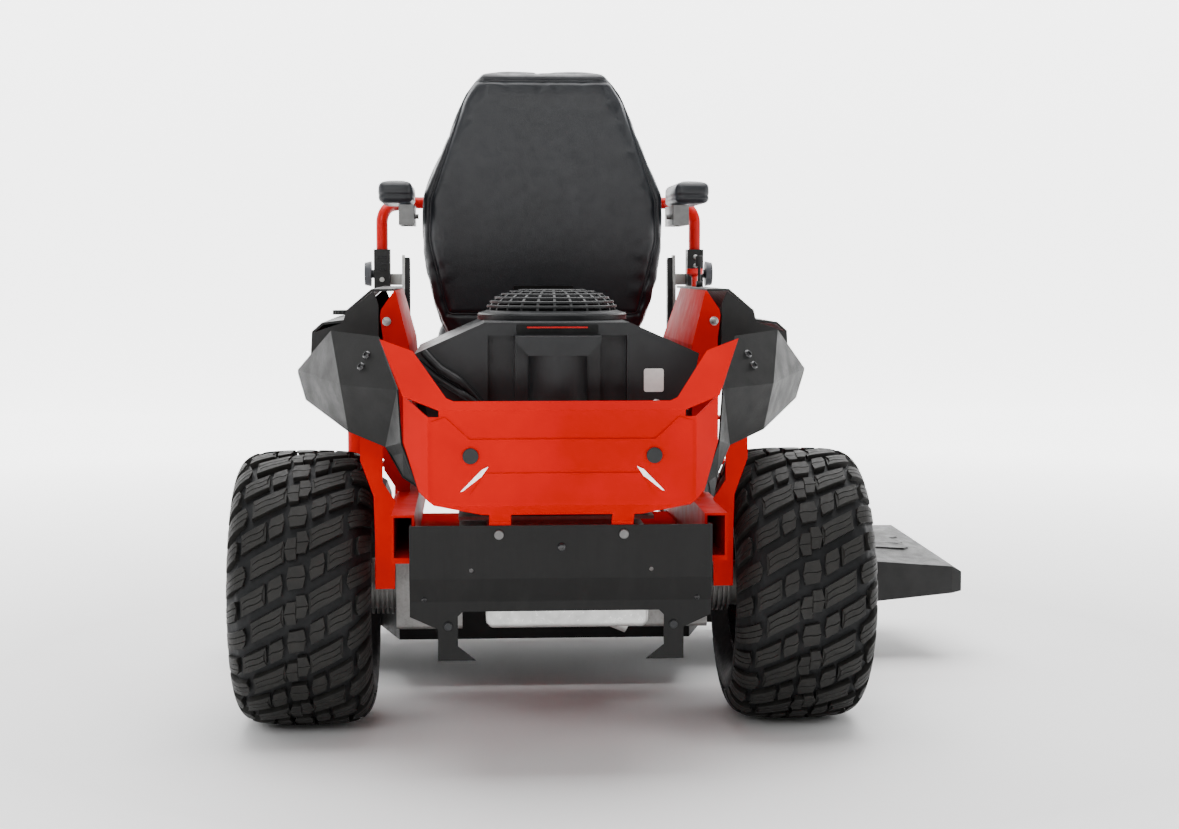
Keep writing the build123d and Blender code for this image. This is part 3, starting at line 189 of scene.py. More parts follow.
def metal(name, colour, rough, grain, bump, brushed=None, dull=0.75):
    """Bare or plated metal: grain or brush marks, stains and uneven gloss."""
    m = Nodes(name)
    stain = m.noise(22.0, 7.0, 0.7)
    m.link(m.tint(stain, scaled(colour, dull), colour, 0.3, 0.6), m.shader.inputs["Base Color"])
    place = m.stretched(brushed) if brushed else None
    marks = m.noise(grain if not brushed else 1.0, 5.0, 0.6, place)
    m.link(m.spread(marks, rough - 0.1, rough + 0.12), m.shader.inputs["Roughness"])
    m.bumps((marks, bump, 0.0004), (m.noise(35.0, 3.0), bump * 0.4, 0.001))
    m.shader.inputs["Metallic"].default_value = 1.0
    return m.material


def vinyl(name, colour):
    """Upholstery vinyl: pebbled grain, soft creases and a cool sheen."""
    m = Nodes(name)
    cloud = m.noise(7.0, 4.0)
    m.link(m.tint(cloud, scaled(colour, 0.85), scaled(colour, 1.2)), m.shader.inputs["Base Color"])
    m.link(m.spread(m.noise(55.0, 4.0), 0.36, 0.52), m.shader.inputs["Roughness"])
    pebbles = m.cells(620.0)
    creases = m.noise(1.0, 3.0, 0.5, m.stretched((10.0, 10.0, 22.0)))
    m.bumps((creases, 0.25, 0.004), (m.noise(260.0, 3.0), 0.2, 0.0006), (pebbles, 0.35, 0.0004))
    m.shader.inputs["Sheen Weight"].default_value = 0.05
    m.shader.inputs["Sheen Tint"].default_value = (0.7, 0.8, 1.0, 1.0)
    m.shader.inputs["Specular IOR Level"].default_value = 0.4
    return m.material


def rubber(name, colour, rough, dusty=0.0, bump=0.3):
    """Tyre and hose rubber: fine pitting, with dust where it has been handled."""
    m = Nodes(name)
    patch = m.noise(16.0, 7.0, 0.7)
    base = m.tint(patch, scaled(colour, 0.8), scaled(colour, 1.25))
    if dusty:
        film = m.spread(m.noise(60.0, 8.0, 0.72), 0.0, dusty, 0.42, 0.72)
        base = m.over(film, base, m.tint(patch, (0.03, 0.028, 0.024), (0.05, 0.046, 0.039)))
    m.link(base, m.shader.inputs["Base Color"])
    m.link(m.spread(m.noise(120.0, 4.0), rough - 0.08, rough + 0.1), m.shader.inputs["Roughness"])
    m.shader.inputs["Specular IOR Level"].default_value = 0.3
    m.bumps((m.noise(420.0, 4.0, 0.6), bump, 0.0005), (m.noise(50.0, 3.0), 0.2, 0.0012))
    return m.material


RED = (0.5, 0.0006, 0.0004)
BLACK = (0.0062, 0.0062, 0.006)
by_slot = {
    "red_paint": powder_coat("red_powder_coat", RED, 0.5, 900.0, 0.12, 0.0, None, 0.04, 0.04),
    "bar_paint": powder_coat("bar_powder_coat", RED, 0.28, 900.0, 0.1, 0.1, shine=0.2),
    "black_paint": powder_coat("black_powder_coat", BLACK, 0.46, 1500.0, 0.4, shine=0.14),
    "grey_paint": metal("zinc_plate", (0.50, 0.50, 0.48), 0.42, 60.0, 0.2, (400.0, 400.0, 14.0)),
    "rim_paint": powder_coat("rim_gloss", (0.012, 0.012, 0.013), 0.24, 800.0, 0.1, 0.3),
    "black_plastic": moulded("fender_plastic", (0.012, 0.012, 0.0118), 0.5),
    "red_plastic": moulded("knob_plastic", (0.7, 0.01, 0.01), 0.3),
    "engine_plastic": moulded("engine_plastic", (0.0095, 0.0105, 0.0115), 0.4, 1900.0, 0.2),
    "cast_metal": metal("cast_aluminium", (0.27, 0.27, 0.262), 0.55, 240.0, 0.8),
    "bare_steel": metal("zinc_steel", (0.48, 0.48, 0.47), 0.34, 140.0, 0.3),
    "tyre": rubber("tyre_rubber", (0.0062, 0.0068, 0.0075), 0.62),
    "rubber": rubber("hose_rubber", (0.006, 0.006, 0.0065), 0.45),
    "vinyl": vinyl("seat_vinyl", (0.0075, 0.0085, 0.0105)),
}
tread_top = rubber("tread_top", (0.0125, 0.0122, 0.0112), 0.6, 0.22, 0.5)
# Black paint with painted sheen: lighter vertical streaks, used on the muffler guard.
sheen_streaked_black = powder_coat("sheen_streaked_black", BLACK, 0.38, 1500.0, 0.4, 0.0, (26.0, 26.0, 2.2), shine=0.18)
white_label = moulded("label_film", (0.62, 0.62, 0.6), 0.4, 900.0, 0.1)
# Near-white metal for the painted highlights on the guard's louvres.
painted_highlight_metal = metal("painted_highlight_metal", (0.9, 0.88, 0.87), 0.25, 120.0, 0.2, None, 0.9)
thread = moulded("stitch_thread", (0.02, 0.022, 0.026), 0.7, 3000.0, 0.4)
# Near-black for the painted shade that the grille casts on the engine cover.
dark_void = moulded("grille_shadow", (0.006, 0.006, 0.006), 0.8)
knob_grey = moulded("knob_grey", (0.05, 0.052, 0.058), 0.4)

for part in frame["record"]["subparts"]:
    mesh = nodes[part["node"]].data
    mesh.materials.clear()
    mesh.materials.append(by_slot[part["material_slot"]])


def repaint(node, material, wanted):
    """Gives the faces of a CAD node whose middle passes a test another material."""
    mesh = nodes[node].data
    mesh.materials.append(material)
    for face in mesh.polygons:
        if wanted(face.center):
            face.material_index = len(mesh.materials) - 1


LAP_BAR_X = 0.334
CLAMP_TOP = 0.8845
CLAMP_HALF = 0.0175
KNOB_TOP = 0.87
LOW_BOLTS, CAPS = 0.35, 0.5  # plated guard bolts lie between these heights, black ones outside
dull_zinc = metal("dull_zinc", (0.17, 0.17, 0.168), 0.5, 120.0, 0.3)
nodes["muffler_guard"].data.materials[0] = sheen_streaked_black
nodes["guard_fasteners"].data.materials[0] = dull_zinc
for side in ("left", "right"):
    low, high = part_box(f"lap_lever_{side}")
    sign = -1 if side == "left" else 1
    bar_x = AXLE_X + sign * LAP_BAR_X
    nodes[f"armrest_bracket_{side}"].data.materials[0] = dull_zinc
    bar = f"lap_bar_{side}"
    repaint(bar, by_slot["black_plastic"], lambda c: c.z < CLAMP_TOP and abs(c.x - bar_x) < CLAMP_HALF)
    repaint(bar, knob_grey, lambda c: c.z < KNOB_TOP and abs(c.x - bar_x) >= CLAMP_HALF)
repaint("guard_fasteners", by_slot["engine_plastic"], lambda c: not LOW_BOLTS < c.z < CAPS)


# Mesh helpers ----------------------------------------------------------------------------------
def piece(name, verts, faces, materials, body, smooth=False, indices=None):
    """A mesh object from points and faces, riding on a body."""
    mesh = bpy.data.meshes.new(name)
    mesh.from_pydata([tuple(v) for v in verts], [], [tuple(f) for f in faces])
    for material in materials:
        mesh.materials.append(material)
    if indices is not None:
        mesh.polygons.foreach_set("material_index", indices)
    mesh.polygons.foreach_set("use_smooth", [smooth] * len(mesh.polygons))
    mesh.validate()
    made = bpy.data.objects.new(name, mesh)
    scene.collection.objects.link(made)
    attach(made, body)
    return made


class Builder:
    """Collects points and faces of several small forms into one mesh."""

    def __init__(self):
        self.verts = []
        self.faces = []

    def form(self, verts, faces, matrix=Matrix.Identity(4)):
        start = len(self.verts)
        self.verts += [matrix @ Vector(v) for v in verts]
        self.faces += [[start + i for i in f] for f in faces]

    def turned(self, profile, matrix, segments=24):
        """A lathe form about the matrix's z axis: the profile is (radius, height), from the middle out."""
        verts = []
        for radius, height in profile:
            for k in range(segments):
                angle = 2 * math.pi * k / segments
                verts.append((radius * math.cos(angle), radius * math.sin(angle), height))
        faces = []
        for i in range(len(profile) - 1):
            for k in range(segments):
                a, b = i * segments + k, i * segments + (k + 1) % segments
                faces.append((a, a + segments, b + segments, b))
        faces.append(list(range(segments)))
        self.form(verts, faces, matrix)

    def slab(self, outline, thickness, matrix, chamfer=0.0006):
        """A plate over an outline in the matrix's xy plane, with a chamfered top edge."""
        n = len(outline)
        centre = Vector((sum(p[0] for p in outline) / n, sum(p[1] for p in outline) / n))
        inset = []
        for p in outline:
            away = Vector(p) - centre
            inset.append(centre + away * max(0.0, 1 - chamfer / max(away.length, 1e-6)))
        verts = [(*p, 0) for p in outline] + [(*p, thickness - chamfer) for p in outline]
        verts += [(*p, thickness) for p in inset]
        faces = [tuple(range(2 * n, 3 * n))]
        for level in (0, n):
            for k in range(n):
                faces.append((level + k, level + (k + 1) % n, level + n + (k + 1) % n, level + n + k))
        self.form(verts, faces, matrix)

    def done(self, name, material, body, smooth=False):
        return piece(name, self.verts, self.faces, [material], body, smooth)


def facing(point, normal, spin=0.0):
    """Matrix that stands a form on a point with its z axis along a normal."""
    turn = Vector(normal).to_track_quat("Z", "Y").to_matrix().to_4x4()
    return Matrix.Translation(point) @ turn @ Matrix.Rotation(spin, 4, "Z")


def tree_of(obj):
    mesh = obj.data
    return BVHTree.FromPolygons([v.co for v in mesh.vertices], [p.vertices[:] for p in mesh.polygons])


def touch(tree, start, direction):
    """Point and outward normal where a ray meets a surface."""
    hit, normal, _, _ = tree.ray_cast(start, Vector(direction))
    if hit is None:
        raise ValueError(f"nothing met from {tuple(start)}")
    return hit, normal if normal.dot(Vector(direction)) < 0 else -normal


def hex_bolt(builder, point, normal, size=0.0075, spin=0.3):
    """Flanged hex bolt: washer flange and six flats with a chamfered top."""
    matrix = facing(point, normal, spin)
    flange = [(0.0, 0.002), (size * 1.05, 0.002), (size * 1.35, 0.0012), (size * 1.35, 0.0)]
    flats = [(0.0, size * 0.85), (size * 0.72, size * 0.85), (size * 0.9, size * 0.72), (size * 0.9, 0.0015)]
    builder.turned(flange, matrix, 28)
    builder.turned(flats, matrix, 6)


def button_bolt(builder, point, normal, size=0.0075, spin=0.0):
    """Button head screw with a socket in its crown."""
    matrix = facing(point, normal, spin)
    socket = [(0.0, size * 0.2), (size * 0.42, size * 0.2), (size * 0.42, size * 0.52)]
    crown = [(size * 0.6, size * 0.5), (size * 0.85, size * 0.32), (size, size * 0.08), (size, 0.0)]
    builder.turned(socket + crown, matrix, 24)


# Drive tyres -----------------------------------------------------------------------------------
PITCHES = 14
SLANT = 0.56
DEPTH = 0.0115


def tyre_curve(radius, half):
    """Outer section of the tyre as arc length, distance from the middle and radius, with normals."""
    knots = [(0, 0), (40, -0.6), (79, -3.4), (98, -8.5), (112, -18), (121, -32), (126, -49), (127, -65)]
    knots += [(124, -82), (114, -98), (103, -113), (97, -119)]
    points = np.array([(u / 127 * half, radius + v / 1000) for u, v in knots])
    fine = []
    for i in range(len(points) - 1):
        p0 = points[i - 1] if i else points[1] * (-1, 1)
        p1, p2 = points[i], points[i + 1]
        p3 = points[min(i + 2, len(points) - 1)]
        for t in np.arange(0, 1, 0.1):
            fine.append(0.5 * (2 * p1 + (p2 - p0) * t + (2 * p0 - 5 * p1 + 4 * p2 - p3) * t**2
                               + (3 * p1 - p0 - 3 * p2 + p3) * t**3))
    fine.append(points[-1])
    fine = np.array(fine)
    fine[:, 0] = np.minimum(fine[:, 0], half)
    along = np.concatenate([[0], np.cumsum(np.linalg.norm(np.diff(fine, axis=0), axis=1))])
    slope = np.gradient(fine, axis=0)
    slope /= np.linalg.norm(slope, axis=1)[:, None]
    normal = np.stack([-slope[:, 1], slope[:, 0]], 1)
    return along, fine, normal


def tread_block(t0, t1, b0, b1, strips=3, bow0=0.0, bow1=0.0, wave=0.0, slant=SLANT, stations=6, gap=1.1):
    """One tread block in millimetres: a base and the strips that its sipes leave standing."""
    verts, faces = [], []

    def rail(f):
        """Points along the block at a share f of its height, its ends drawn by the bow shape."""
        ends = abs(f - 0.5) * 2
        start = t0 - bow0 * ends
        end = t1 + bow1 * ends
        result = []
        for k in range(stations):
            share = k / (stations - 1)
            t = start + (end - start) * share
            ripple = wave * math.sin(share * math.pi * 2) if 0.05 < f < 0.95 else 0.0
            result.append((t, b0 + (b1 - b0) * f + ripple + slant * t))
        return result

    def ridge(low_rail, high_rail, foot, top, chamfer):
        start = len(verts)
        ring = low_rail + high_rail[::-1]
        n = len(ring)
        centre_b = sum(p[1] - slant * p[0] for p in ring) / n
        centre_t = sum(p[0] for p in ring) / n
        for h in (foot, top - chamfer):
            verts.extend((t, s, h) for t, s in ring)
        for t, s in ring:
            b = s - slant * t
            nt = t + math.copysign(min(chamfer, abs(centre_t - t)), centre_t - t)
            nb = b + math.copysign(min(chamfer, abs(centre_b - b)), centre_b - b)
            verts.append((nt, nb + slant * nt, top))
        for level in (0, n):
            for k in range(n):
                a, b = start + level + k, start + level + (k + 1) % n
                faces.append((a, b, b + n, a + n))
        for k in range(stations - 1):
            a = start + 2 * n + k
            d = start + 2 * n + (n - 1 - k)
            faces.append((a, a + 1, d - 1, d))

    ridge(rail(0.0), rail(1.0), -12.5, -2.4, 0.0)
    tall = b1 - b0
    for k in range(strips):
        low = k / strips + (gap / 2 / tall if k else 0.0)
        high = (k + 1) / strips - (gap / 2 / tall if k < strips - 1 else 0.0)
        ridge(rail(low), rail(high), -2.9, 0.0, 0.7)
    return verts, faces


def tread_pitch(pitch):
    """The blocks of one pitch: a row through a double block, and a row through a single one."""
    half = pitch / 2
    rows = [
        (0, dict(t0=-22, t1=-0.8, b0=-20, b1=20, strips=2, bow0=-6, bow1=1, slant=0.14)),
        (0, dict(t0=0.8, t1=22, b0=-20, b1=20, strips=2, bow0=1, bow1=-6, slant=0.14)),
        (0, dict(t0=28, t1=74, b0=-21, b1=17, bow0=6, bow1=6, wave=2.0)),
        (0, dict(t0=-74, t1=-28, b0=-17, b1=21, bow0=6, bow1=6, wave=2.0)),
        (0, dict(t0=86, t1=156, b0=-20, b1=16, bow0=-8, bow1=0, stations=11, slant=0.45)),
        (0, dict(t0=-156, t1=-86, b0=-16, b1=20, bow0=0, bow1=-8, stations=11, slant=0.45)),
        (half, dict(t0=-17, t1=17, b0=-20, b1=20, strips=2, bow0=-4, bow1=-4, wave=1.6, slant=0.2)),
        (half, dict(t0=22.5, t1=50, b0=-20, b1=18, strips=2, bow0=-3, bow1=-3, wave=2.0)),
        (half, dict(t0=-50, t1=-22.5, b0=-18, b1=20, strips=2, bow0=-3, bow1=-3, wave=2.0)),
        (half, dict(t0=60, t1=92, b0=-19, b1=17, bow0=6, bow1=6, wave=1.8)),
        (half, dict(t0=-92, t1=-60, b0=-17, b1=19, bow0=6, bow1=6, wave=1.8)),
        (half, dict(t0=104, t1=154, b0=-21, b1=15, bow0=-7, bow1=0, stations=9, slant=0.45)),
        (half, dict(t0=-154, t1=-104, b0=-15, b1=21, bow0=0, bow1=-7, stations=9, slant=0.45)),
    ]
    verts, faces = [], []
    for offset, shape in rows:
        v, f = tread_block(**shape)
        lift = (SLANT - shape.get("slant", SLANT)) * (shape["t0"] + shape["t1"]) / 2
        start = len(verts)
        verts += [(t, s + offset + lift, h) for t, s, h in v]
        faces += [tuple(start + i for i in face) for face in f]
    return np.array(verts), faces


def drive_tyre(side):
    """The tyre's carcass with its beads, and the tread blocks standing on it."""
    low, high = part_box(f"rear_tyre_{side}")
    radius = (high.z - low.z) / 2
    half = (high.x - low.x) / 2
    centre = (low + high) / 2
    along, curve, normal = tyre_curve(radius, half)

    def place(t, angle, h):
        size = np.abs(t)
        sign = np.where(t < 0, -1.0, 1.0)
        u = np.interp(size, along, curve[:, 0]) + np.interp(size, along, normal[:, 0]) * h
        r = np.interp(size, along, curve[:, 1]) + np.interp(size, along, normal[:, 1]) * h
        r = np.minimum(r, radius)
        return np.stack([centre.x + sign * u, centre.y - r * np.cos(angle), centre.z + r * np.sin(angle)], 1)

    pitch = 2 * math.pi * radius / PITCHES * 1000
    block_verts, block_faces = tread_pitch(pitch)
    verts, faces, indices = [], [], []
    for k in range(PITCHES):
        start = len(block_verts) * k
        angle = (block_verts[:, 1] + k * pitch) / 1000 / radius
        verts.append(place(block_verts[:, 0] / 1000, angle, block_verts[:, 2] / 1000))
        faces += [tuple(start + i for i in face) for face in block_faces]
        indices += [0] * len(block_faces)
    start = len(block_verts) * PITCHES
    segments = 168
    end = along[-1]
    walls = np.linspace(-end, -0.09, 34), np.linspace(0.09, end, 34)
    stations = np.concatenate([walls[0], np.linspace(-0.085, 0.085, 21), walls[1]])
    size = np.abs(stations)
    sink = -DEPTH * (1 - np.clip((size - 0.128) / 0.034, 0, 1) ** 1.5)
    for rib in (0.168, 0.181, 0.194):
        sink -= 0.0011 * np.exp(-(((size - rib) / 0.0016) ** 2))
    sink += 0.0012 * np.exp(-((stations / 0.0012) ** 2))
    profile_u = np.interp(size, along, curve[:, 0]) + np.interp(size, along, normal[:, 0]) * sink
    profile_u = np.sign(stations) * profile_u
    profile_r = np.interp(size, along, curve[:, 1]) + np.interp(size, along, normal[:, 1]) * sink
    inner = [(0.0955, 0.1275), (0.083, 0.1275), (0.094, 0.158), (0.107, 0.19), (0.083, 0.222)]
    profile = list(zip(profile_u, profile_r)) + inner + [(-u, r) for u, r in reversed(inner)]
    ring = []
    for k in range(segments):
        angle = 2 * math.pi * k / segments
        for u, r in profile:
            ring.append((centre.x + u, centre.y - r * math.cos(angle), centre.z + r * math.sin(angle)))
    n = len(profile)
    for k in range(segments):
        a, b = start + k * n, start + (k + 1) % segments * n
        for i in range(n):
            j = (i + 1) % n
            faces.append((a + i, a + j, b + j, b + i))
            indices.append(1)
    verts = np.concatenate(verts + [np.array(ring)])
    materials = [tread_top, by_slot["tyre"]]
    tyre = piece(f"tyre_{side}", verts, faces, materials, f"wheel_{side}", False, indices)
    for face in tyre.data.polygons:
        if face.material_index == 1:
            face.use_smooth = True
    tidy = bmesh.new()
    tidy.from_mesh(tyre.data)
    bmesh.ops.recalc_face_normals(tidy, faces=tidy.faces)
    tidy.to_mesh(tyre.data)
    tidy.free()
    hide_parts(f"rear_tyre_{side}")


for side in ("left", "right"):
    drive_tyre(side)


# Upholstery ------------------------------------------------------------------------------------
def swap_mesh(obj, mesh):
    old = obj.data
    obj.data = mesh
    bpy.data.meshes.remove(old)


def applied(obj):
    """Replaces an object's mesh by what its modifiers make of it."""
    result = bpy.data.meshes.new_from_object(obj.evaluated_get(bpy.context.evaluated_depsgraph_get()))
    obj.modifiers.clear()
    swap_mesh(obj, result)


def coordinates(obj):
    co = np.empty(len(obj.data.vertices) * 3)
    obj.data.vertices.foreach_get("co", co)
    return co.reshape(-1, 3)


def set_coordinates(obj, co):
    obj.data.vertices.foreach_set("co", co.ravel())
    obj.data.update()


def upholstered(name, node, body, shrink, voxel, cap, fixed, carve):
    """A padded piece: the CAD solid drawn in, remeshed, blown up as cloth, then sewn."""
    low, high = (np.array(p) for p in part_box(node))
    made = bpy.data.objects.new(name, nodes[node].data.copy())
    made.data.name = name
    scene.collection.objects.link(made)
    weld = bmesh.new()
    weld.from_mesh(made.data)
    bmesh.ops.remove_doubles(weld, verts=weld.verts, dist=1e-5)
    weld.to_mesh(made.data)
    weld.free()
    middle = (low + high) / 2
    set_coordinates(made, middle + (coordinates(made) - middle) * (1 - 2 * np.array(shrink) / (high - low)))
    remesh = made.modifiers.new("remesh", "REMESH")
    remesh.mode = "VOXEL"
    remesh.voxel_size = voxel
    applied(made)
    rest = coordinates(made)
    pins = made.vertex_groups.new(name="pins")
    pins.add([i for i, p in enumerate(rest) if fixed(p)], 1.0, "REPLACE")
    cloth = made.modifiers.new("cloth", "CLOTH")
    settings = cloth.settings
    settings.quality = 4
    settings.mass = 0.35
    settings.tension_stiffness = 12
    settings.compression_stiffness = 12
    settings.bending_stiffness = 1.2
    settings.use_pressure = True
    settings.uniform_pressure_force = 4.0
    settings.effector_weights.gravity = 0
    settings.vertex_group_mass = "pins"
    cloth.point_cache.frame_end = 20
    for step in range(1, 21):
        scene.frame_set(step)
    applied(made)
    moved = coordinates(made)
    scene.frame_set(1)
    shift = moved - rest
    length = np.linalg.norm(shift, axis=1)
    soft = cap * np.tanh(length / cap)
    set_coordinates(made, rest + shift * (soft / np.maximum(length, 1e-9))[:, None])
    division = made.modifiers.new("division", "SUBSURF")
    division.levels = 1
    division.render_levels = 1
    applied(made)
    co = carve(coordinates(made))
    spare = 0.004
    set_coordinates(made, np.clip(co, low - spare, high + spare))
    made.data.materials.clear()
    made.data.materials.append(by_slot["vinyl"])
    made.data.polygons.foreach_set("use_smooth", [True] * len(made.data.polygons))
    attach(made, body)
    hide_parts(node)
    return made


def seam_distance(points, line):
    """Distance of each 2-D point from a sewn line."""
    best = np.full(len(points), 1e9)
    for a, b in zip(line, line[1:]):
        a, b = np.array(a), np.array(b)
        along = np.clip(((points - a) @ (b - a)) / ((b - a) @ (b - a)), 0, 1)
        best = np.minimum(best, np.linalg.norm(points - (a + along[:, None] * (b - a)), axis=1))
    return best


def stitches(name, surface, lines, lift, direction, body, pitch=0.0055):
    """Short threads set end to end along sewn lines, laid on a surface."""
    tree = tree_of(surface)
    build = Builder()
    size = 0.00075
    for line in lines:
        for a, b in zip(line, line[1:]):
            a, b = Vector(a), Vector(b)
            count = max(1, int((b - a).length / pitch))
            for k in range(count):
                p = a.lerp(b, (k + 0.2) / count)
                q = a.lerp(b, (k + 0.8) / count)
                ends = [tree.ray_cast(Vector(e), Vector(direction))[0] for e in (p, q)]
                if None in ends or (ends[1] - ends[0]).length > 2 * pitch:
                    continue
                up = -Vector(direction) * lift
                start, end = ends[0] + up, ends[1] + up
                run = end - start
                matrix = facing(start, run)
                long, slim = run.length, size * 0.8
                profile = [(0, 0), (slim, 0.0004), (size, long / 2), (slim, long - 0.0004), (0, long)]
                build.turned(profile, matrix, 6)
    if build.verts:
        build.done(name, thread, body, True)


def piping(name, surface, line, radius, direction, body, step=0.01):
    """A sewn-in welt: a slim round bead laid along a line on a surface."""
    tree = tree_of(surface)
    points = []
    for a, b in zip(line, line[1:]):
        a, b = Vector(a), Vector(b)
        count = max(1, int((b - a).length / step))
        points += [a.lerp(b, k / count) for k in range(count)]
    hits = [tree.ray_cast(p, Vector(direction))[0] for p in points]
    hits = [p for p in hits if p is not None]
    n = len(hits)
    smooth = [(hits[k - 1] + hits[k] * 2 + hits[(k + 1) % n]) / 4 for k in range(n)]
    outward = -Vector(direction)
    verts, faces = [], []
    sides = 8
    for k in range(n):
        run = (smooth[(k + 1) % n] - smooth[k - 1]).normalized()
        across = run.cross(outward).normalized()
        up = across.cross(run)
        for j in range(sides):
            angle = 2 * math.pi * j / sides
            verts.append(smooth[k] + (across * math.cos(angle) + up * math.sin(angle)) * radius)
    for k in range(n):
        for j in range(sides):
            a, b = k * sides, (k + 1) % n * sides
            faces.append((a + j, a + (j + 1) % sides, b + (j + 1) % sides, b + j))
    return piece(name, verts, faces, [by_slot["vinyl"]], body, True)


back_low, back_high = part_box("seat_back")
LEAN = math.tan(math.radians(6.0))


def back_depth(co):
    """How far behind the seat back's front plane each point lies, in metres."""
    return (AXLE_Y + 0.44) - LEAN * (co[:, 2] - 0.69) - co[:, 1]


# Edge of the seat back's rear panel from the top down, as half width and height in millimetres.
PANEL_EDGE = [(146, 1216), (226, 980), (228, 901), (193, 752)]
loop = [(-x, z) for x, z in PANEL_EDGE] + PANEL_EDGE[::-1] + [(-PANEL_EDGE[0][0], PANEL_EDGE[0][1])]
PANEL = [(AXLE_X + x / 1000, z / 1000) for x, z in loop]


def carve_back(co):
    """Rear panel seam, front channels and creases in the side bolsters."""
    flat = co[:, [0, 2]]
    depth = back_depth(co)
    rear = depth > 0.06
    front = depth < 0.035
    inside = seam_distance(flat, PANEL)
    co[rear, 1] += 0.0062 * np.exp(-((inside[rear] / 0.0042) ** 2))
    centre = np.abs(flat[:, 0] - AXLE_X)
    within = np.clip((0.2 - centre) / 0.03, 0, 1) * np.clip((1.19 - flat[:, 1]) / 0.03, 0, 1)
    co[rear, 1] += 0.0015 * within[rear]
    for level in (0.8, 0.9, 1.0, 1.1):
        dip = 0.008 * np.exp(-(((flat[:, 1] - level) / 0.006) ** 2)) * np.clip((0.15 - centre) / 0.02, 0, 1)
        co[front, 1] -= dip[front]
    edge = 0.009 * np.exp(-(((centre - 0.155) / 0.006) ** 2)) * np.clip((1.16 - flat[:, 1]) / 0.03, 0, 1)
    co[front, 1] -= edge[front]
    low_side = np.clip((0.93 - flat[:, 1]) / 0.12, 0, 1) * np.clip((centre - 0.17) / 0.03, 0, 1)
    fold = np.array([noise.noise(Vector((p[0] * 14, p[1] * 9, p[2] * 42))) for p in co])
    co[:, 1] += 0.0045 * fold * low_side
    co[:, 0] += np.sign(flat[:, 0] - AXLE_X) * 0.003 * fold * low_side
    return co


def carve_cushion(co):
    """Sewn channels across the seat, with raised side bolsters and a rounded front."""
    x = np.abs(co[:, 0] - AXLE_X)
    y = co[:, 1] - AXLE_Y
    top = co[:, 2] > 0.7
    hollow = 0.014 * np.clip((0.17 - x) / 0.05, 0, 1) * np.clip((0.82 - y) / 0.06, 0, 1)
    co[top, 2] -= hollow[top]
    co[top, 2] -= (0.007 * np.exp(-(((x - 0.165) / 0.006) ** 2)))[top]
    for line in (0.53, 0.61, 0.69, 0.77):
        dip = 0.0065 * np.exp(-(((y - line) / 0.006) ** 2)) * np.clip((0.165 - x) / 0.01, 0, 1)
        co[top, 2] -= dip[top]
    side = np.abs(co[:, 2] - 0.66)
    away = np.stack([co[:, 0] - AXLE_X, co[:, 1] - (AXLE_Y + 0.65)], 1)
    away /= np.maximum(np.linalg.norm(away, axis=1), 1e-6)[:, None]
    co[:, :2] -= away * (0.004 * np.exp(-((side / 0.005) ** 2)))[:, None]
    return co


def carve_arm(co):
    """A seam round the pad, a third of the way up its sides."""
    middle = (co.min(0) + co.max(0)) / 2
    away = (co - middle)[:, :2]
    away /= np.maximum(np.linalg.norm(away, axis=1), 1e-6)[:, None]
    level = co[:, 2].min() + 0.016
    co[:, :2] -= away * (0.0028 * np.exp(-(((co[:, 2] - level) / 0.003) ** 2)))[:, None]
    return co


seat_back = upholstered(
    "seat_back_pad", "seat_back", "seat", (0.004, 0.008, 0.001), 0.0055, 0.0065,
    lambda p: False, carve_back)
seat_cushion = upholstered(
    "seat_cushion_pad", "seat_cushion", "seat", (0.009, 0.009, 0.007), 0.0058, 0.014,
    lambda p: p[2] < 0.618, carve_cushion)
for side in ("left", "right"):
    upholstered(
        f"armrest_pad_{side}", f"armrest_{side}", f"arm_{side}", (0.0025, 0.0025, 0.002), 0.004, 0.005,
        lambda p: p[2] < 0.975, carve_arm)

panel_line = [(x, AXLE_Y - 0.1, z) for x, z in PANEL]
stitches("seat_back_stitches", seat_back, [panel_line], -0.0002, (0, 1, 0), "seat")
piping("seat_back_piping", seat_back, panel_line, 0.0026, (0, 1, 0), "seat")
front_lines = []
for offset in (-0.162, -0.148, 0.148, 0.162):
    front_lines.append([(AXLE_X + offset, AXLE_Y + 0.8, 0.76), (AXLE_X + offset, AXLE_Y + 0.8, 1.13)])
stitches("seat_front_stitches", seat_back, front_lines, 0.0002, (0, -1, 0), "seat")
cushion_lines = []
for offset in (-0.172, -0.158, 0.158, 0.172):
    cushion_lines.append([(AXLE_X + offset, AXLE_Y + 0.48, 0.85), (AXLE_X + offset, AXLE_Y + 0.81, 0.85)])
stitches("seat_cushion_stitches", seat_cushion, cushion_lines, 0.0002, (0, 0, -1), "seat")


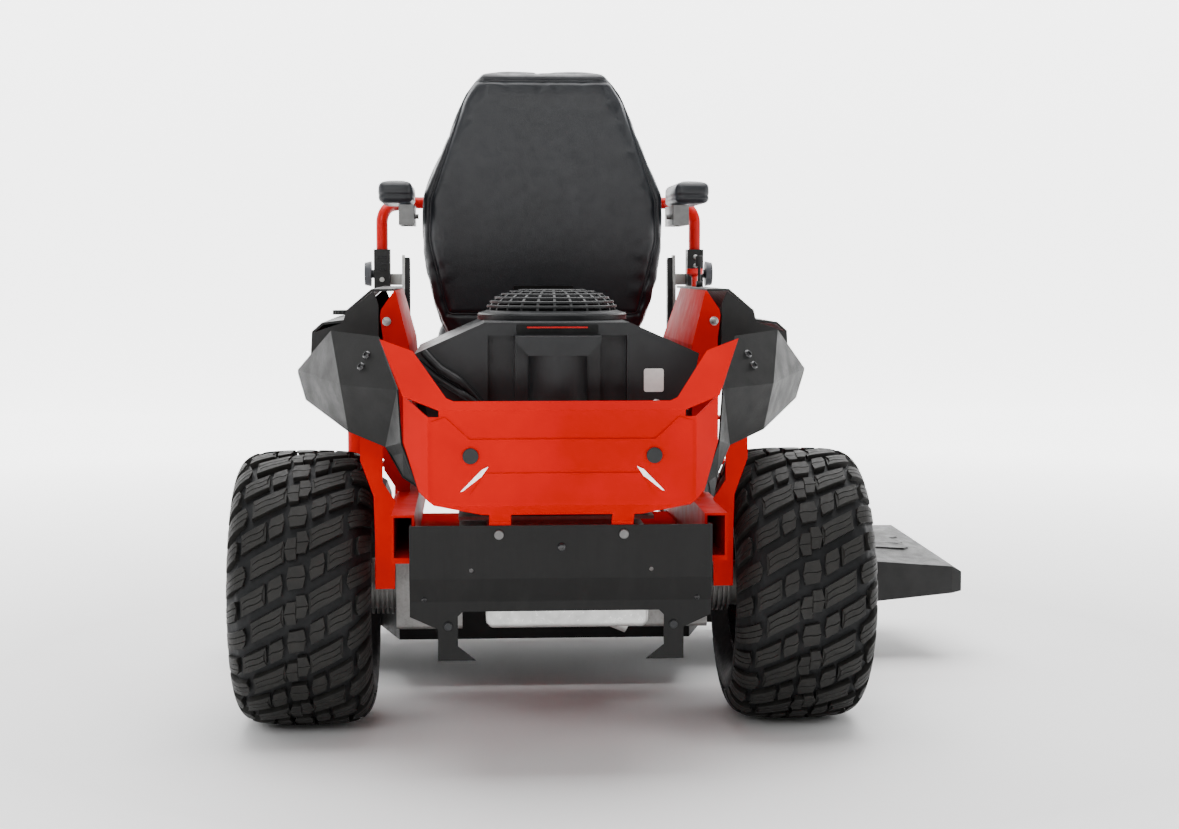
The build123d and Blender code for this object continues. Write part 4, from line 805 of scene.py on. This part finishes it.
# Engine ----------------------------------------------------------------------------------------
def grille():
    """Domed fan guard of concentric rings on curved ribs, standing on a broad collar."""
    low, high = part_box("fan_guard")
    centre = Vector(((low.x + high.x) / 2, (low.y + high.y) / 2, 0))
    outer = (high.x - low.x) / 2
    top = high.z
    base = low.z
    build = Builder()
    matrix = Matrix.Translation(centre)
    collar = [(outer, base), (outer, base + 0.009), (outer - 0.002, base + 0.012)]
    collar += [(outer - 0.012, base + 0.0145), (outer - 0.016, base + 0.0165)]
    collar += [(outer - 0.02, base + 0.0165), (outer - 0.016, base)]

    def band(section):
        """A closed ring of any section about the guard's axis."""
        segments = 96
        verts = []
        for k in range(segments):
            angle = 2 * math.pi * k / segments
            verts += [(r * math.cos(angle), r * math.sin(angle), z) for r, z in section]
        n = len(section)
        faces = []
        for k in range(segments):
            a, b = k * n, (k + 1) % segments * n
            faces += [(a + i, b + i, b + (i + 1) % n, a + (i + 1) % n) for i in range(n)]
        build.form(verts, faces, matrix)

    band(collar)
    drop = top - base - 0.0165
    levels = []
    for k in range(8):
        share = k / 7
        radius = (outer - 0.018) * math.cos(share * math.pi * 0.39)
        levels.append((radius, base + 0.0165 + drop * math.sin(share * math.pi / 2)))
    for radius, z in levels[1:]:
        z = min(z, top - 0.0012)
        band([(radius + 0.0026, z - 0.003), (radius + 0.0026, z + 0.0004), (radius + 0.0012, z + 0.0012),
              (radius - 0.003, z + 0.0012), (radius - 0.003, z - 0.003)])
    last = levels[-1][0]
    for k in range(24):
        angle = 2 * math.pi * k / 24
        across = Vector((-math.sin(angle), math.cos(angle), 0)) * 0.0022
        verts = []
        for radius, z in levels:
            z = min(z, top - 0.0012)
            point = Vector((radius * math.cos(angle), radius * math.sin(angle), z))
            for shift, rise in ((across, -0.003), (across, 0.0007), (-across, 0.0007), (-across, -0.003)):
                verts.append(point + shift + Vector((0, 0, rise)))
        faces = []
        for i in range(len(levels) - 1):
            for j in range(4):
                faces.append((4 * i + j, 4 * i + (j + 1) % 4, 4 * i + 4 + (j + 1) % 4, 4 * i + 4 + j))
        build.form(verts, faces, matrix)
    cap = [(0.0, top), (last - 0.02, top), (last - 0.012, top - 0.001)]
    cap += [(last - 0.001, top - 0.0028), (last - 0.001, top - 0.005)]
    build.turned(cap, matrix, 64)
    spokes = [(last - 0.001, top - 0.0052), (0.0, top - 0.0052)]
    build.turned(spokes[::-1], matrix, 64)
    made = build.done("fan_grille", by_slot["engine_plastic"], "chassis")
    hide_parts("fan_guard")


grille()

shroud_tree = tree_of(nodes["engine_shroud"])
guard_tree = tree_of(nodes["rear_guard"])
behind = AXLE_Y - 1.0


def from_behind(tree, x, z):
    """Surface point and normal met from behind at x and z, in design millimetres."""
    start = at(x, 0, z)
    return touch(tree, Vector((start.x, behind, start.z)), (0, 1, 0))


def plate_on(tree, outline, thickness, name, material, body, centre):
    """A thin plate following a flat area that faces the rear; outline in design millimetres."""
    point, normal = from_behind(tree, *centre)
    build = Builder()
    x_axis = Vector((1, 0, 0))
    x_axis = (x_axis - normal * x_axis.dot(normal)).normalized()
    y_axis = normal.cross(x_axis)
    rotation = Matrix((x_axis, y_axis, normal)).transposed().to_4x4()
    matrix = Matrix.Translation(point) @ rotation
    local = []
    for x, z in outline:
        offset = at(x, 0, z) - at(centre[0], 0, centre[1])
        local.append((offset.x * x_axis.x + offset.z * x_axis.z, offset.z / max(y_axis.z, 0.2)))
    build.slab(local, thickness, matrix, min(0.0004, thickness / 2))
    return build.done(name, material, body)


def rounded(x0, x1, z0, z1, radius=4.0, steps=4):
    """A rounded rectangle, anticlockwise seen from behind."""
    points = []
    for cx, cz, start in ((x1 - radius, z1 - radius, 0), (x0 + radius, z1 - radius, 90),
                          (x0 + radius, z0 + radius, 180), (x1 - radius, z0 + radius, 270)):
        for k in range(steps + 1):
            angle = math.radians(start + 90 * k / steps)
            points.append((cx + radius * math.cos(angle), cz + radius * math.sin(angle)))
    return points


for outline, thickness, name, material, slot, centre in (
        (rounded(148, 182, 634, 674), 0.0006, "blank_label", white_label, "engine_plastic", (165, 654)),
        # The dark plate under the grille is painted shade, the grille's shadow on the cover; the red stripe
        # sits on it.
        (rounded(-70, 70, 734, 750, 3), 0.0012, "painted_grille_shade", dark_void, "engine_plastic", (0, 742)),
        (rounded(-52, 52, 743.5, 746, 1), 0.002, "cover_stripe", by_slot["bar_paint"], "bar_paint",
         (0, 745))):
    plate_on(shroud_tree, outline, thickness, name, material, "chassis", centre)

# Guard: slim bright plates set on the pressed face, painted highlights standing for the lit edges of its
# louvres.
for sign in (-1, 1):
    shape = [(sign * 120, 526), (sign * 131, 521), (sign * 166, 485), (sign * 162, 486), (sign * 131, 510)]
    if sign > 0:
        shape = shape[::-1]
    plate_on(guard_tree, shape, 0.0012, f"painted_louvre_highlight_{'left' if sign < 0 else 'right'}",
             painted_highlight_metal, "chassis", (sign * 137, 509))

# Lap levers: a black strip on the inner face of each, and the details of the clamp blocks.
LEVER_Y = 556
STRIP = [(-12, 712), (15, 712), (17, 858), (12, 867), (-2, 867), (-12, 800)]
for side, sign in (("left", -1), ("right", 1)):
    lever_tree = tree_of(nodes[f"lap_lever_{side}"])
    point, _ = touch(lever_tree, at(0, LEVER_Y, 780), (sign, 0, 0))
    face = Vector((point.x, AXLE_Y + LEVER_Y / 1000, 0))
    axes = Matrix(((0, -sign, 0), (0, 0, 1), (-sign, 0, 0))).transposed().to_4x4()
    shape = [(-sign * y / 1000, z / 1000) for y, z in STRIP]
    strip = Builder()
    strip.slab(shape[::-sign], 0.011, Matrix.Translation(face) @ axes, 0.002)
    strip.done(f"lever_strip_{side}", by_slot["black_plastic"], f"lever_{side}")
bar_tree = tree_of(nodes["lap_bar_right"])
screws = Builder()
for z in (849, 868):
    point, normal = from_behind(bar_tree, 334, z)
    button_bolt(screws, point, normal, 0.0052)
screws.done("clamp_screws_right", by_slot["bare_steel"], "bar_right")
bar_tree = tree_of(nodes["lap_bar_left"])
for k in range(3):
    z = 838 + 13 * k
    plate_on(bar_tree, rounded(-344, -324, z, z + 5, 2), 0.0012, f"clamp_rib_{k}",
             by_slot["rim_paint"], "bar_left", (-334, z + 2.5))

# Chute: pressed ribs along the top of the moulding.
chute_tree = tree_of(nodes["discharge_chute"])
chute_low, chute_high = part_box("discharge_chute")
ribs = Builder()
for share in (0.34, 0.48, 0.62):
    y = chute_low.y + (chute_high.y - chute_low.y) * share
    ends = []
    for across in (0.25, 0.7):
        x = chute_low.x + (chute_high.x - chute_low.x) * across
        ends.append(touch(chute_tree, Vector((x, y, 1.0)), (0, 0, -1)))
    (start, normal), (end, _) = ends
    run = (end - start).normalized()
    side_axis = normal.cross(run).normalized()
    axes = Matrix((run, side_axis, run.cross(side_axis))).transposed().to_4x4()
    length = (end - start).length
    bar = [(0, 0.006), (0.012, -0.009), (length - 0.012, -0.009)]
    bar += [(length, 0.006), (length - 0.012, 0.012), (0.012, 0.012)]
    ribs.slab(bar, 0.0035, Matrix.Translation(start) @ axes, 0.0025)
ribs.done("chute_ribs", by_slot["black_plastic"], "chute")

# Bolts met from behind on the wings, panels and muffler guard.
zinc = Builder()
dark = Builder()
muffler_tree = tree_of(nodes["muffler_guard"])
for side, sign in (("left", -1), ("right", 1)):
    wing = tree_of(nodes[f"fender_wing_{side}"])
    for x, z in ((322, 700), (331, 681)):
        point, normal = from_behind(wing, sign * x, z)
        button_bolt(dark, point, normal, 0.0078)
    panel = tree_of(nodes[f"side_panel_{side}"])
    point, normal = from_behind(panel, sign * 300, 748)
    hex_bolt(zinc, point, normal, 0.006)
    point, normal = from_behind(muffler_tree, sign * 226, 300)
    button_bolt(dark, point, normal, 0.005)
point, normal = from_behind(muffler_tree, 0, 388)
button_bolt(dark, point, normal, 0.0075)
point, normal = from_behind(shroud_tree, 170, 612)
hex_bolt(zinc, point, normal, 0.007)
zinc.done("zinc_bolts", by_slot["bare_steel"], "chassis")
dark.done("black_bolts", by_slot["rim_paint"], "chassis")


# Studio ----------------------------------------------------------------------------------------
def studio():
    """Pale floor that curves up into a backdrop, a white world and four soft lights."""
    floor_verts, floor_faces = [], []
    rows = [(-14.0, 0.0), (7.0, 0.0)]
    rows += [(7.0 + 3 * math.sin(a), 3 - 3 * math.cos(a)) for a in np.linspace(0.1, math.pi / 2, 10)]
    rows.append((10.0, 12.0))
    for y, z in rows:
        floor_verts += [(-16.0, y, z), (16.0, y, z)]
    for i in range(len(rows) - 1):
        floor_faces.append((2 * i, 2 * i + 1, 2 * i + 3, 2 * i + 2))
    mesh = bpy.data.meshes.new("floor")
    mesh.from_pydata(floor_verts, [], floor_faces)
    mesh.polygons.foreach_set("use_smooth", [True] * len(mesh.polygons))
    floor = bpy.data.objects.new("floor", mesh)
    scene.collection.objects.link(floor)
    pale = Nodes("pale_floor")
    shade = pale.tint(pale.noise(1.5, 2.0), (0.9, 0.9, 0.9), (0.92, 0.92, 0.92))
    pale.link(shade, pale.shader.inputs["Base Color"])
    pale.shader.inputs["Roughness"].default_value = 0.9
    distance = pale.add("ShaderNodeVectorMath", operation="LENGTH")
    pale.link(pale.place, distance.inputs[0])
    glow = pale.spread(distance.outputs["Value"], 0.0, 3.2, 1.3, 5.0)
    pale.link(glow, pale.shader.inputs["Emission Strength"])
    pale.shader.inputs["Emission Color"].default_value = (1, 1, 1, 1)
    mesh.materials.append(pale.material)
    world = bpy.data.worlds.new("studio")
    scene.world = world
    world.use_nodes = True
    world.node_tree.nodes["Background"].inputs["Color"].default_value = (1, 1, 1, 1)
    world.node_tree.nodes["Background"].inputs["Strength"].default_value = 0.34
    lights = [
        ("top_soft", (0, 0.4, 4.2), (0, 0, 0), 4.5, 4.0, 330),
        ("rear_soft", (-1.8, -5.0, 3.2), (0, 0, 0.5), 3.0, 2.0, 95),
        ("right_soft", (4.2, -1.8, 2.2), (0, 0, 0.5), 2.6, 2.2, 40),
        ("left_soft", (-4.2, 0.5, 2.2), (0, 0, 0.5), 2.6, 2.2, 34),
    ]
    for name, position, target, width, height, power in lights:
        light = bpy.data.lights.new(name, "AREA")
        light.shape = "RECTANGLE"
        light.size = width
        light.size_y = height
        light.energy = power
        lamp = bpy.data.objects.new(name, light)
        scene.collection.objects.link(lamp)
        lamp.location = position
        lamp.rotation_euler = (Vector(target) - Vector(position)).to_track_quat("-Z", "Y").to_euler()


studio()

camera = bpy.data.cameras.new("camera")
camera.sensor_width = 36.0
camera.lens = 59.18
camera.clip_end = 100
eye = bpy.data.objects.new("camera", camera)
scene.collection.objects.link(eye)
eye.location = at(-150, -3600, 850)
eye.rotation_euler = (math.radians(90 - 4.4), 0, math.radians(-3.55))
scene.camera = eye
